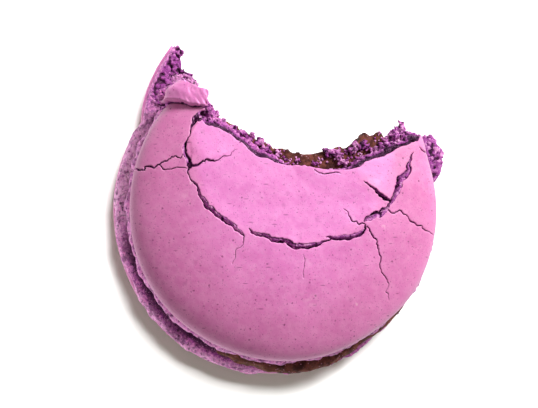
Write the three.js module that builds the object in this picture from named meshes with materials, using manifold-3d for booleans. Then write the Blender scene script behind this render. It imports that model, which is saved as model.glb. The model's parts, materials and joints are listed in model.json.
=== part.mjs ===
// A French macaron with one bite taken out of it: two almond meringue shells with a layer of
// chocolate ganache between them. Millimetres, +Z up. The origin is on the shells' axis, on the
// small flat spot that the lower dome rests on, and the bite is on the +Y side.
import * as THREE from "three";
import { mergeVertices } from "three/addons/utils/BufferGeometryUtils.js";
import Module from "manifold-3d";

const wasm = await Module();
wasm.setup();

// Sizes of the upper shell
const UPPER_RADIUS = 23;
const UPPER_BASE_Z = 10.6;
const UPPER_FOOT_RADIUS = 23.2;
const UPPER_FOOT_HEIGHT = 1.8;
const UPPER_DOME_HEIGHT = 5.6;

// Sizes of the lower shell, which sits upside down
const LOWER_RADIUS = 24.45;
const LOWER_TOP_Z = 7.4;
const LOWER_FOOT_RADIUS = 24.2;
const LOWER_FOOT_HEIGHT = 1.7;
const LOWER_SHIFT_X = -0.3;
const LOWER_SHIFT_Y = -0.2;

// The flat spot it rests on, as a share of the lower shell's radius
const REST_SHARE = 0.37;

// Sizes of the ganache
const FILLING_RADIUS = 23.3;
const FILLING_BOTTOM_Z = 7.5;
const FILLING_TOP_Z = 10.5;
const BULGE_DEG = -93;
const BULGE_REACH = 1.5;

// The dome's roundness, and how far the rim stands above the foot
const DOME_POWER = 2.5;
const RIM_RISE = 0.6;
const NECK_DEPTH = 0.5;

// Mesh fineness
const TURN_STEPS = 96;
const BITE_STEPS = 46;

// Bite edges seen from above, from the left horn to the right one, with ends clear of the disc
const UPPER_BITE = [
  [-15.8, 27], [-15.2, 19.6], [-13.4, 17.9], [-12.3, 16.6], [-12.5, 14.9], [-13.0, 13.4],
  [-12.6, 11.9], [-9.6, 10.7], [-7.0, 8.8], [-5.0, 7.2], [-1.3, 5.9], [3.0, 5.6], [7.2, 5.1],
  [10.6, 5.8], [13.6, 7.3], [16.8, 8.9], [19.3, 9.7], [20.2, 10.8], [22.0, 11.2], [32, 14],
];
const FILLING_BITE = [
  [-17.5, 28], [-15.2, 20.4], [-12.6, 17.2], [-10.6, 15.0], [-8.2, 13.0], [-5.8, 11.9],
  [-3.0, 10.2], [0.7, 9.0], [4.6, 8.4], [8.1, 9.2], [11.4, 9.9], [13.2, 11.7], [15.6, 11.9],
  [17.2, 11.0], [19.0, 12.0], [24, 16], [32, 20],
];
const LOWER_BITE = [
  [-17.5, 34], [-15.7, 25.2], [-15.3, 22.4], [-14.2, 20.9], [-12.7, 20.1], [-11.9, 18.0],
  [-11.0, 16.2], [-8.6, 13.9], [-5.6, 11.9], [-2.4, 9.8], [1.0, 8.6], [4.5, 8.0], [8.6, 8.8],
  [12.4, 9.8], [16.2, 10.9], [17.7, 12.4], [19.2, 14.2], [21.0, 13.2], [24.6, 12.8], [34, 14],
];

// Cracks in the upper crust: width at the widest, depth, and the path seen from above
const CRACKS = [
  { width: 1.0, depth: 1.7, path: [[-12.6, 14.3], [-14.2, 11.4], [-15.2, 8.9], [-15.3, 7.2], [-14.4, 4.9]] },
  { width: 0.8, depth: 1.5, path: [[-14.9, 5.4], [-14.9, 4.0], [-13.5, 1.3], [-11.0, -1.9], [-8.8, -3.5], [-6.6, -4.7]] },
  { width: 1.0, depth: 1.7, path: [[-6.6, -4.0], [-5.0, -4.8], [-3.2, -5.0], [0.8, -6.3], [3.7, -6.1], [6.4, -4.9]] },
  { width: 0.9, depth: 1.6, path: [[5.6, -5.1], [8.4, -4.9], [10.4, -4.3], [11.6, -2.9]] },
  { width: 1.2, depth: 1.8, path: [[11.0, -2.3], [13.1, -1.4], [14.9, -0.2], [16.1, 2.2], [17.8, 5.2], [19.1, 8.8]] },
  { width: 0.7, depth: 1.2, path: [[-14.9, 5.2], [-12.8, 5.8], [-11.5, 6.4], [-9.3, 7.0], [-7.6, 8.0]] },
  { width: 0.5, depth: 0.8, path: [[-23.2, 5.2], [-20.6, 5.2], [-19.0, 5.8], [-17.2, 6.7], [-15.0, 7.3]] },
  { width: 0.9, depth: 1.3, path: [[11.4, 3.5], [13.2, 2.1], [15.9, 0.9]] },
  { width: 0.4, depth: 0.8, path: [[14.6, -0.5], [16.9, -0.8], [18.4, -2.1], [20.6, -3.4], [22.3, -3.9]] },
  { width: 0.4, depth: 0.7, path: [[11.9, -3.5], [13.2, -5.2], [13.8, -8.0], [14.3, -10.3], [15.1, -13.4]] },
  { width: 0.4, depth: 0.7, path: [[7.8, -0.3], [9.3, -2.4], [11.4, -2.9]] },
  { width: 0.9, depth: 1.4, path: [[-20.2, 14.2], [-18.6, 15.2], [-17.2, 15.4], [-15.4, 14.8], [-12.8, 14.0]] },
];

// The crust inside this line sank under the bite, and slopes towards it
const SUNKEN_PLATE = [
  [-14.6, 5.3], [-13.5, 1.3], [-11.0, -1.9], [-7.0, -4.4], [-3.2, -5.0], [0.8, -6.3], [6.4, -5.0],
  [11.4, -2.9], [14.9, 0.6], [11.4, 3.5], [11.5, 12], [-7.4, 12], [-7.4, 8.1], [-11.5, 6.4],
];
const SINK_SLOPE = 0.075;

// The upper shell's left tip broke off, slid outwards and rose a little
const FLAP_LINE_Y = 14.9;
const FLAP_RIGHT_X = -11;
const FLAP_SLIDE = 1.5;
const FLAP_RISE = 0.45;

// The lower shell's left horn is splayed outwards, and its foot is squeezed out at the right horn
const HORN_START_DEG = 146;
const HORN_TIP_DEG = 122.7;
const HORN_REACH = 5.3;
const SQUEEZED_FROM_DEG = 9;
const SQUEEZED_TO_DEG = 33;
const SQUEEZED_REACH = 4.1;

const radians = THREE.MathUtils.degToRad;
const smoothstep = THREE.MathUtils.smoothstep;

// A repeatable random number from 0 to 1
function seededRandom(seed) {
  let state = seed;
  return () => {
    state = (state * 1664525 + 1013904223) % 4294967296;
    return state / 4294967296;
  };
}

// Uneven crumb from a few crossing waves, from about -1 to 1, with lumps about `size` wide
function crumbRelief(x, y, z, size) {
  const [u, v, w] = [(x * Math.PI) / size, (y * Math.PI) / size, (z * Math.PI) / size];
  const broad = Math.sin(u + 0.6 * w) * Math.sin(v - 0.5 * w + 1.3);
  const fine = Math.sin(1.7 * u - 1.1 * v + 0.7) * Math.cos(1.9 * w + 0.8 * v);
  return 0.6 * broad + 0.4 * fine;
}

// Height of a dome as a share of its full height, at a share of its radius from the axis
function domeShare(radiusShare) {
  const inside = Math.max(0, 1 - Math.pow(Math.min(radiusShare, 1), DOME_POWER));
  return Math.pow(inside, 1 / DOME_POWER);
}

// Half section of a shell, from the middle of its flat side round the foot to the top of its dome
function shellProfile(radius, footRadius, footHeight, domeHeight) {
  const footSteps = 5;
  const domeShares = [0.985, 0.95, 0.9, 0.83, 0.74, 0.62, 0.48, REST_SHARE, 0.2];
  const points = [[0, 0], [footRadius * 0.5, 0], [footRadius * 0.85, 0]];
  for (let i = 0; i <= footSteps; i++) {
    const turn = Math.PI * (i / footSteps - 0.5);
    const bulge = NECK_DEPTH * 1.6;
    points.push([
      footRadius - bulge + bulge * Math.cos(turn),
      (footHeight * (1 + Math.sin(turn))) / 2,
    ]);
  }
  const rimHeight = footHeight + RIM_RISE;
  points.push([radius - NECK_DEPTH, footHeight + 0.05]);
  points.push([radius - 0.12, footHeight + RIM_RISE * 0.45]);
  points.push([radius, rimHeight]);
  for (const share of domeShares) {
    points.push([radius * share, rimHeight + domeHeight * domeShare(share)]);
  }
  points.push([0, rimHeight + domeHeight]);
  return points.map(([r, h]) => new THREE.Vector2(r, h));
}

// A closed mesh as a solid, with its vertices merged and its collapsed triangles left out
function solidOf(geometry) {
  const bare = geometry.index ? geometry.toNonIndexed() : geometry.clone();
  bare.deleteAttribute("normal");
  bare.deleteAttribute("uv");
  const merged = mergeVertices(bare, 1e-4);
  const index = merged.index.array;
  const kept = [];
  for (let i = 0; i < index.length; i += 3) {
    const [a, b, c] = [index[i], index[i + 1], index[i + 2]];
    if (a !== b && b !== c && c !== a) kept.push(a, b, c);
  }
  return new wasm.Manifold(
    new wasm.Mesh({
      numProp: 3,
      vertProperties: merged.attributes.position.array,
      triVerts: new Uint32Array(kept),
    }),
  );
}

// The solid without the slivers and the tiny triangles that a cut can leave
function cleaned(solid) {
  const whole = solid.simplify(0.03).decompose();
  return whole.reduce((best, body) => (body.volume() > best.volume() ? body : best));
}

function geometryOf(solid) {
  const mesh = solid.getMesh();
  const geometry = new THREE.BufferGeometry();
  geometry.setAttribute("position", new THREE.BufferAttribute(mesh.vertProperties, 3));
  geometry.setIndex(new THREE.BufferAttribute(mesh.triVerts, 1));
  geometry.computeVertexNormals();
  return geometry;
}

// A turned body about Z, with every vertex then moved by place(x, y, z), which returns its new place
function turnedBody(profile, place) {
  const geometry = new THREE.LatheGeometry(profile, TURN_STEPS);
  geometry.rotateX(Math.PI / 2);
  const position = geometry.attributes.position;
  for (let i = 0; i < position.count; i++) {
    position.setXYZ(i, ...place(position.getX(i), position.getY(i), position.getZ(i)));
  }
  return geometry;
}

// A closed body through loops of plan points at rising heights, with flat ends
function stackedLoops(loops) {
  const count = loops[0].length;
  const positions = loops.flat().flatMap((p) => [p.x, p.y, p.z]);
  const index = [];
  for (let layer = 0; layer + 1 < loops.length; layer++) {
    for (let i = 0; i < count; i++) {
      const [a, b] = [layer * count + i, layer * count + ((i + 1) % count)];
      index.push(a, b, b + count, a, b + count, a + count);
    }
  }
  for (const [layer, flip] of [[0, true], [loops.length - 1, false]]) {
    const start = layer * count;
    const flat = loops[layer].map((p) => new THREE.Vector2(p.x, p.y));
    for (const [a, b, c] of THREE.ShapeUtils.triangulateShape(flat, [])) {
      index.push(start + a, start + (flip ? c : b), start + (flip ? b : c));
    }
  }
  const geometry = new THREE.BufferGeometry();
  geometry.setAttribute("position", new THREE.Float32BufferAttribute(positions, 3));
  geometry.setIndex(index);
  return geometry;
}

// What the teeth took: everything beyond the bite edge, between two heights. reach(x, z) moves the
// torn face outwards at a place, and crag is the depth of its crumb.
function biteBody(edge, bottomZ, topZ, layers, crag, reach) {
  const curve = new THREE.SplineCurve(edge.map(([x, y]) => new THREE.Vector2(x, y)));
  const line = curve.getSpacedPoints(BITE_STEPS);
  const far = 60;
  const loops = [];
  for (let layer = 0; layer <= layers; layer++) {
    const z = THREE.MathUtils.lerp(bottomZ, topZ, layer / layers);
    const loop = line.map((p, i) => {
      const tangent = curve.getTangentAt(i / BITE_STEPS);
      const push = reach(p.x, z) + crag * crumbRelief(p.x, p.y, z, 1.9);
      return new THREE.Vector3(p.x - tangent.y * push, p.y + tangent.x * push, z);
    });
    loop.push(new THREE.Vector3(far, far, z), new THREE.Vector3(-far, far, z));
    loops.push(loop);
  }
  return solidOf(stackedLoops(loops));
}

function insidePolygon(x, y, outline) {
  let inside = false;
  outline.forEach(([ax, ay], i) => {
    const [bx, by] = outline[(i + 1) % outline.length];
    if (ay > y !== by > y && x < ((bx - ax) * (y - ay)) / (by - ay) + ax) inside = !inside;
  });
  return inside;
}

function distanceToLine(x, y, points) {
  let nearest = Infinity;
  for (let i = 0; i + 1 < points.length; i++) {
    const [[ax, ay], [bx, by]] = [points[i], points[i + 1]];
    const along = ((x - ax) * (bx - ax) + (y - ay) * (by - ay)) / ((bx - ax) ** 2 + (by - ay) ** 2);
    const t = THREE.MathUtils.clamp(along, 0, 1);
    nearest = Math.min(nearest, Math.hypot(x - ax - t * (bx - ax), y - ay - t * (by - ay)));
  }
  return nearest;
}

// How far the upper crust has sunk at a plan point
function sunk(x, y) {
  const hinge = SUNKEN_PLATE.slice(0, 10);
  return insidePolygon(x, y, SUNKEN_PLATE) ? SINK_SLOPE * distanceToLine(x, y, hinge) : 0;
}

// Share of the flap's slide at a plan point: 1 beyond its crack, 0 before it
function flapShare(x, y) {
  const beyond = smoothstep(y, FLAP_LINE_Y - 0.5, FLAP_LINE_Y + 0.5);
  return x < FLAP_RIGHT_X ? beyond : 0;
}

// Ruffled foot: a wavy, blistered band. `bandShare` is 1 on the foot and 0 elsewhere.
function ruffle(angle, z, bandShare) {
  const waves = Math.sin(17 * angle + 2 * z) + 0.7 * Math.sin(29 * angle - 3 * z + 1.1);
  return 0.2 * bandShare * waves;
}

// Slow unevenness that keeps a baked disc from being a true circle
function outOfRound(angle) {
  return 0.16 * Math.sin(2 * angle + 0.8) + 0.1 * Math.sin(5 * angle + 2.1);
}

// Crumbs of one torn face, as small lumps half sunk in it
function crumbLumps(edge, count, lowZ, highZ, reach, seed) {
  const random = seededRandom(seed);
  const curve = new THREE.SplineCurve(edge.map(([x, y]) => new THREE.Vector2(x, y)));
  const lumps = [];
  for (let i = 0; i < count; i++) {
    const point = curve.getPointAt(0.2 + (0.62 * (i + 0.8 * random())) / count);
    const radius = 0.55 + 0.5 * random();
    const lump = new THREE.IcosahedronGeometry(radius, 0);
    lump.rotateX(random() * Math.PI);
    lump.rotateZ(random() * Math.PI);
    lump.scale(1.1, 0.9 + 0.4 * random(), 0.8);
    const z = THREE.MathUtils.lerp(lowZ + radius, highZ - radius, random());
    lump.translate(point.x, point.y + reach(point.x, z) - 0.15, z);
    lumps.push(solidOf(lump));
  }
  return lumps;
}

// The slot that one crack opens: a wedge along its path, whose edge stays at a depth under the crust
function crackSlot({ width, depth, path }) {
  const curve = new THREE.SplineCurve(path.map(([x, y]) => new THREE.Vector2(x, y)));
  const steps = Math.ceil(curve.getLength() / 1.6);
  const positions = curve.getSpacedPoints(steps).flatMap((p, i) => {
    const tangent = curve.getTangentAt(i / steps);
    const taper = 0.35 + 0.65 * Math.sin((Math.PI * i) / steps);
    const jag = 0.14 * Math.sin(2.7 * i + path.length);
    const half = (1.3 * width * taper) / 2;
    const crustZ = crustHeight(p.x, p.y);
    const at = (side, z) => [
      p.x - tangent.y * (side * half + jag),
      p.y + tangent.x * (side * half + jag),
      z,
    ];
    return [...at(-1, crustZ + 0.8), ...at(1, crustZ + 0.8), ...at(0, crustZ - depth * taper)];
  });
  const index = [0, 1, 2];
  for (let i = 0; i < steps; i++) {
    for (let side = 0; side < 3; side++) {
      const [a, b] = [3 * i + side, 3 * i + ((side + 1) % 3)];
      index.push(a, a + 3, b + 3, a, b + 3, b);
    }
  }
  index.push(3 * steps, 3 * steps + 2, 3 * steps + 1);
  const geometry = new THREE.BufferGeometry();
  geometry.setAttribute("position", new THREE.Float32BufferAttribute(positions, 3));
  geometry.setIndex(index);
  return solidOf(geometry);
}

// Height of the upper crust above its shell's flat side
function crustHeight(x, y) {
  const dome = UPPER_DOME_HEIGHT * domeShare(Math.hypot(x, y) / UPPER_RADIUS);
  return UPPER_FOOT_HEIGHT + RIM_RISE + dome - sunk(x, y) + FLAP_RISE * flapShare(x, y);
}

function makeUpperShell() {
  const profile = shellProfile(UPPER_RADIUS, UPPER_FOOT_RADIUS, UPPER_FOOT_HEIGHT, UPPER_DOME_HEIGHT);
  const place = (x, y, h) => {
    const angle = Math.atan2(y, x);
    const edge = smoothstep(Math.hypot(x, y), UPPER_RADIUS * 0.7, UPPER_RADIUS);
    const onFoot = h > 0.1 && h < UPPER_FOOT_HEIGHT ? edge : 0;
    const out = 1 + (edge * outOfRound(angle) + ruffle(angle, h, onFoot)) / UPPER_RADIUS;
    const flap = flapShare(x, y);
    const crust = smoothstep(h, UPPER_FOOT_HEIGHT, UPPER_FOOT_HEIGHT + 2);
    return [
      x * out - 0.75 * FLAP_SLIDE * flap,
      y * out + 0.66 * FLAP_SLIDE * flap,
      h + crust * (FLAP_RISE * flap - sunk(x, y)),
    ];
  };
  // The crumb stands out past the crust's broken edge
  const reach = (x, z) => 0.9 * smoothstep(7 - z, 0.4, 2.2) * smoothstep(x, -13, -8);
  const body = solidOf(turnedBody(profile, place));
  const bitten = body.subtract(biteBody(UPPER_BITE, -1, 9.4, 9, 0.5, reach));
  const lumps = crumbLumps(UPPER_BITE, 13, 0.3, 4.8, reach, 11);
  const crumbed = lumps.reduce((whole, lump) => whole.add(lump), bitten);
  const slots = CRACKS.map(crackSlot).reduce((whole, slot) => whole.add(slot));
  return crumbed.subtract(slots);
}

// Outward push of the lower shell's edge at an angle in degrees: the splayed horn, and the
// squeezed foot at the right
function lowerPush(degrees) {
  const along = (HORN_START_DEG - degrees) / (HORN_START_DEG - HORN_TIP_DEG);
  const horn = degrees > 90 && along > 0 ? HORN_REACH * Math.pow(Math.min(along, 1.1), 0.85) : 0;
  const into = (degrees - SQUEEZED_FROM_DEG) / (SQUEEZED_TO_DEG - SQUEEZED_FROM_DEG);
  const squeezed = into > 0 && into < 1 ? SQUEEZED_REACH * Math.pow(Math.sin(Math.PI * into), 0.6) : 0;
  return horn + squeezed;
}

function makeLowerShell() {
  const domeHeight = (LOWER_TOP_Z - LOWER_FOOT_HEIGHT - RIM_RISE) / domeShare(REST_SHARE);
  const profile = shellProfile(LOWER_RADIUS, LOWER_FOOT_RADIUS, LOWER_FOOT_HEIGHT, domeHeight);
  const place = (x, y, h) => {
    // Turned about Y, so that the side with the foot is uppermost, and flat where it rests
    const angle = Math.atan2(y, -x);
    const edge = smoothstep(Math.hypot(x, y), LOWER_RADIUS * 0.6, LOWER_RADIUS);
    const onFoot = h > 0.1 && h < LOWER_FOOT_HEIGHT ? edge : 0;
    const push = lowerPush(THREE.MathUtils.radToDeg(angle)) + outOfRound(angle + 2);
    const out = 1 + (edge * push + ruffle(angle + 1, h, onFoot)) / LOWER_RADIUS;
    return [
      -x * out + LOWER_SHIFT_X,
      y * out + LOWER_SHIFT_Y,
      Math.max(0, LOWER_TOP_Z - h),
    ];
  };
  const body = solidOf(turnedBody(profile, place));
  const reach = (x, z) => -0.5 * smoothstep(3.5 - z, 0, 3.5);
  const bitten = body.subtract(biteBody(LOWER_BITE, -1, LOWER_TOP_Z + 1, 8, 0.5, reach));
  const lumps = crumbLumps(LOWER_BITE, 12, 1.2, LOWER_TOP_Z - 0.2, reach, 23);
  return lumps.reduce((whole, lump) => whole.add(lump), bitten);
}

// The ganache bulges out past both feet, most of all at the front
function makeFilling() {
  const height = FILLING_TOP_Z - FILLING_BOTTOM_Z;
  const bulges = [[0.9, 0], [0.965, 0], [0.99, 0.2], [1, 0.5], [0.99, 0.8], [0.965, 1], [0.9, 1]];
  const section = bulges.map(([r, h]) => [FILLING_RADIUS * r, height * h]);
  const profile = [[0, 0], [FILLING_RADIUS / 2, 0], ...section, [FILLING_RADIUS / 2, height], [0, height]]
    .map(([r, h]) => new THREE.Vector2(r, h));
  const place = (x, y, h) => {
    const angle = Math.atan2(y, x);
    const front = Math.pow(Math.max(0, Math.cos(angle - radians(BULGE_DEG))), 8);
    const right = Math.pow(Math.max(0, Math.cos(angle - radians(BULGE_DEG + 45))), 4);
    const wave = 0.16 * Math.sin(9 * angle + 0.5) + 0.12 * Math.sin(16 * angle + h);
    const out = 1 + (BULGE_REACH * (front + 0.6 * right) + wave) / FILLING_RADIUS;
    return [x * out, y * out, h];
  };
  const body = solidOf(turnedBody(profile, place));
  const level = () => 0;
  return body.subtract(biteBody(FILLING_BITE, -1, height + 1, 6, 0.28, level));
}

const crustPink = new THREE.MeshStandardMaterial({ color: 0xec8fcb, roughness: 0.75, metalness: 0 });
const ganache = new THREE.MeshStandardMaterial({ color: 0x55302a, roughness: 0.5, metalness: 0 });

function part(name, solid, material, baseZ) {
  const mesh = new THREE.Mesh(geometryOf(cleaned(solid)), material);
  mesh.name = name;
  mesh.position.z = baseZ;
  return mesh;
}

const macaron = new THREE.Group();
macaron.add(part("lower_shell", makeLowerShell(), crustPink, 0));
macaron.add(part("filling", makeFilling(), ganache, FILLING_BOTTOM_Z));
macaron.add(part("upper_shell", makeUpperShell(), crustPink, UPPER_BASE_Z));

export default macaron;
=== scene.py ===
"""A French macaron with one bite taken out of it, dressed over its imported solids.

Shapes are worked out in millimetres in the part's own frame: +Z up, the bite on the +Y side.
"""
import itertools
import json
import math

import bpy
import numpy as np
from mathutils import Matrix, Vector
from mathutils.geometry import delaunay_2d_cdt

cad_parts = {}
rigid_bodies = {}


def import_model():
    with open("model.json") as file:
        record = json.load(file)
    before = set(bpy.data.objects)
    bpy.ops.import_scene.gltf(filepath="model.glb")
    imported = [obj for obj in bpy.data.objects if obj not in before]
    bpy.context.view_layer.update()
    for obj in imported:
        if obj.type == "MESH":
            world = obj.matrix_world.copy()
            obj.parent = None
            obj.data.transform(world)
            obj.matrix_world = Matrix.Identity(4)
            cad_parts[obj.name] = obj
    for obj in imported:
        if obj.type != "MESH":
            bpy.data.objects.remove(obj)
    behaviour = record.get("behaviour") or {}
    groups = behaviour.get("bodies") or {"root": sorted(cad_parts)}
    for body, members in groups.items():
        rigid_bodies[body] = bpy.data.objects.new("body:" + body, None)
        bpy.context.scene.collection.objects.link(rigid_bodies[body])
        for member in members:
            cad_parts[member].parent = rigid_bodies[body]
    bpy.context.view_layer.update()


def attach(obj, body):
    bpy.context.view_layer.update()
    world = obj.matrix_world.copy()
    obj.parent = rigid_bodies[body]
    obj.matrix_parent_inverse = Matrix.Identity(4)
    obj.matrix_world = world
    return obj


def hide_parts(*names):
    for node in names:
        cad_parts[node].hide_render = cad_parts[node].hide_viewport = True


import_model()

MM = 0.001

# Sizes shared with the solids
UPPER_R, UPPER_BASE, UPPER_FOOT_R, UPPER_FOOT_H, UPPER_DOME = 23.0, 10.6, 23.2, 1.8, 5.75
LOWER_R, LOWER_TOP, LOWER_FOOT_R, LOWER_FOOT_H = 24.45, 7.4, 24.2, 1.7
LOWER_X, LOWER_Y, REST_SHARE = -0.3, -0.2, 0.37
FILLING_R, FILLING_LOW, FILLING_HIGH, BULGE_DEG, BULGE = 23.3, 7.5, 10.5, -93, 1.5
DOME_POWER, RIM_RISE, NECK = 2.25, 0.6, 0.5
CRUST = 0.4
LOWER_DOME = (LOWER_TOP - LOWER_FOOT_H - RIM_RISE) / (1 - REST_SHARE ** DOME_POWER) ** (1 / DOME_POWER)

UPPER_BITE = [
    (-34, 16.4), (-21.6, 16.6), (-19.6, 17.5), (-18.3, 18.1), (-16.4, 18.4), (-14.7, 17.8),
    (-13.3, 17.0), (-12.1, 16.7), (-11.9, 15.1), (-13.0, 13.4),
    (-12.6, 11.9), (-10.9, 11.2), (-9.6, 10.6), (-7.0, 8.8), (-5.0, 7.1), (-3.1, 6.5), (-1.3, 5.9),
    (1.0, 5.7), (2.9, 5.7), (4.6, 5.3), (7.2, 5.2), (8.9, 5.3), (10.6, 5.8), (11.7, 6.6), (13.6, 7.3),
    (15.5, 8.0), (16.8, 8.9), (17.9, 9.2), (19.4, 9.8), (20.1, 10.8), (22.0, 11.2), (32, 14),
]
FILLING_BITE = [
    (-17.5, 28), (-15.2, 20.4), (-12.6, 17.2), (-10.6, 15.0), (-8.2, 13.0), (-5.8, 11.9), (-3.6, 10.6),
    (-1.6, 9.7), (0.7, 9.0), (2.4, 8.6), (4.6, 8.4), (6.3, 8.6), (8.1, 9.2), (10.4, 9.8), (11.5, 10.1),
    (12.9, 11.7), (14.5, 11.6), (15.8, 12.0), (16.7, 10.8), (17.7, 11.1), (19.0, 12.0), (24, 16), (32, 20),
]
LOWER_BITE = [
    (-17.2, 34), (-15.6, 26.0), (-14.3, 24.2), (-14.8, 22.9), (-14.8, 21.9), (-13.5, 21.1), (-12.1, 19.9),
    (-11.9, 18.0),
    (-11.0, 16.2), (-8.6, 13.9), (-5.6, 11.9), (-2.4, 9.8), (1.0, 8.6), (4.5, 8.0), (8.6, 8.8),
    (12.4, 9.8), (16.2, 10.9), (17.7, 12.2), (19.2, 13.5), (20.6, 12.4), (22.4, 11.7), (23.4, 12.3),
    (24.6, 12.6), (34, 14),
]

# Cracks of the upper crust: how deep the crumb is split, and the path as x, y and width
CRACKS = {
    "left_arm": (1.5, [
        (-12.0, 13.0, 1.5), (-13.3, 12.8, 1.3), (-14.2, 11.4, 0.5), (-14.7, 10.1, 0.16),
        (-15.2, 8.9, 0.3), (-15.4, 7.8, 0.6), (-15.1, 6.6, 0.75), (-14.7, 5.5, 0.85), (-14.8, 5.0, 0.5)]),
    "left_smile": (1.25, [
        (-14.9, 5.2, 0.3), (-15.0, 3.9, 0.16), (-14.2, 2.9, 0.24), (-13.6, 1.9, 0.34), (-13.2, 1.0, 0.42),
        (-12.6, 0.0, 0.6), (-11.9, -0.95, 0.72), (-10.9, -1.75, 0.72), (-9.7, -2.55, 0.72),
        (-8.7, -3.35, 0.68), (-7.7, -4.05, 0.6), (-7.1, -4.5, 0.4), (-6.9, -5.0, 0.1)]),
    "middle_smile": (1.35, [
        (-6.3, -3.8, 0.12), (-5.8, -4.35, 0.4), (-5.0, -4.65, 0.55), (-4.2, -4.6, 0.5), (-3.5, -4.8, 0.55),
        (-2.2, -5.3, 0.7), (-0.9, -5.6, 0.78), (0.6, -6.2, 0.85), (2.0, -6.2, 0.85), (3.7, -6.0, 0.6),
        (4.8, -5.65, 0.36), (6.0, -5.2, 0.2), (6.8, -5.0, 0.05)]),
    "right_smile": (1.2, [
        (5.2, -4.75, 0.06), (6.0, -4.8, 0.4), (7.2, -4.9, 0.62), (8.4, -4.95, 0.66), (9.7, -4.6, 0.62),
        (10.6, -4.3, 0.6), (11.3, -3.5, 0.42), (11.4, -2.8, 0.2)]),
    "right_arm": (1.7, [
        (11.0, -2.4, 0.2), (11.6, -1.9, 0.7), (12.2, -1.7, 0.95), (13.1, -1.4, 1.0), (14.1, -0.9, 0.95),
        (14.8, -0.4, 0.7), (15.0, 0.3, 0.45), (15.7, 1.1, 0.65), (16.3, 2.2, 0.95), (16.8, 3.7, 1.05),
        (17.7, 4.9, 0.95), (18.1, 5.7, 0.8), (18.4, 7.0, 0.45), (18.9, 8.2, 0.1)]),
    "plate_edge": (0.9, [
        (-14.9, 5.3, 0.45), (-13.6, 5.4, 0.34), (-12.8, 5.8, 0.27), (-12.3, 6.2, 0.26), (-11.5, 6.4, 0.2),
        (-10.3, 6.7, 0.13), (-9.3, 7.0, 0.08), (-8.5, 7.5, 0.05), (-7.8, 7.9, 0.02)]),
    "left_rim": (0.9, [
        (-24.2, 5.3, 0.3), (-22.6, 5.3, 0.32), (-21.3, 5.0, 0.3), (-20.5, 5.4, 0.32), (-19.5, 5.6, 0.3),
        (-19.0, 5.8, 0.26), (-18.0, 6.2, 0.2), (-17.2, 6.7, 0.2), (-16.2, 6.8, 0.16), (-15.2, 7.0, 0.1)]),
    "left_branch": (0.6, [
        (-19.1, 5.8, 0.16), (-18.6, 4.9, 0.18), (-17.8, 4.8, 0.17), (-16.4, 5.1, 0.14), (-15.1, 5.0, 0.08)]),
    "right_branch": (1.2, [
        (11.2, 3.7, 0.06), (11.7, 3.3, 0.22), (12.3, 2.8, 0.32), (13.2, 2.1, 0.5), (14.1, 1.4, 0.65),
        (14.8, 0.9, 0.6), (15.4, 0.6, 0.4)]),
    "right_hair": (0.7, [
        (14.8, -0.4, 0.26), (15.8, -0.9, 0.2), (16.2, -0.8, 0.2), (16.9, -0.7, 0.2), (17.6, -1.2, 0.2),
        (18.4, -2.1, 0.22), (19.1, -2.2, 0.2), (19.8, -2.7, 0.2), (20.6, -3.4, 0.2), (21.2, -3.5, 0.16),
        (22.2, -4.0, 0.08)]),
    "inner_hair": (0.6, [
        (8.0, -0.5, 0.05), (8.9, -1.7, 0.16), (9.3, -2.4, 0.2), (10.0, -2.3, 0.16), (10.3, -2.7, 0.2),
        (11.2, -2.8, 0.2)]),
    "low_hair": (0.7, [
        (11.5, -3.1, 0.2), (12.0, -3.7, 0.22), (12.7, -4.6, 0.24), (13.3, -5.0, 0.22), (13.2, -5.7, 0.22),
        (13.7, -6.8, 0.2), (13.8, -8.0, 0.18), (13.7, -9.2, 0.16), (14.3, -10.3, 0.15), (14.9, -11.4, 0.12),
        (14.9, -12.7, 0.1), (15.3, -13.8, 0.05)]),
    "tip_hair": (0.5, [
        (19.6, 8.8, 0.16), (20.4, 8.4, 0.26), (21.6, 8.3, 0.26), (22.3, 7.6, 0.22), (23.3, 6.3, 0.1)]),
    "edge_hair": (0.4, [
        (3.6, 5.1, 0.1), (4.9, 4.6, 0.15), (5.7, 4.6, 0.15), (7.0, 4.9, 0.14), (7.6, 4.6, 0.05)]),
    "faint_hair": (0.25, [
        (-7.1, -5.0, 0.12), (-7.0, -5.7, 0.08), (-7.3, -6.4, 0.06), (-8.0, -7.0, 0.05), (-8.3, -8.2, 0.04),
        (-8.6, -8.9, 0.02)]),
    "low_faint": (0.2, [(2.0, -7.4, 0.03), (2.1, -8.3, 0.045), (1.95, -9.4, 0.045), (2.05, -10.9, 0.02)]),
    "flap": (1.4, [
        (-20.6, 15.6, 0.5), (-18.6, 14.7, 0.5), (-17.4, 15.1, 0.4), (-16.6, 15.1, 0.25), (-15.7, 14.9, 0.22),
        (-14.6, 14.4, 0.18), (-13.5, 14.2, 0.18), (-11.8, 13.9, 0.25)]),
}

# Which side of a crack's path is its deep side, and how rough the path is where it isn't 1
DEEP_SIDE = {"left_smile": -1, "middle_smile": -1, "right_smile": -1, "right_arm": 1, "left_arm": 1}
ROUGHNESS = {
    "left_rim": 2.3, "right_arm": 1.5, "left_arm": 1.4, "plate_edge": 2.3, "right_hair": 1.6, "low_hair": 1.5,
    "flap": 1.3,
}

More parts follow.
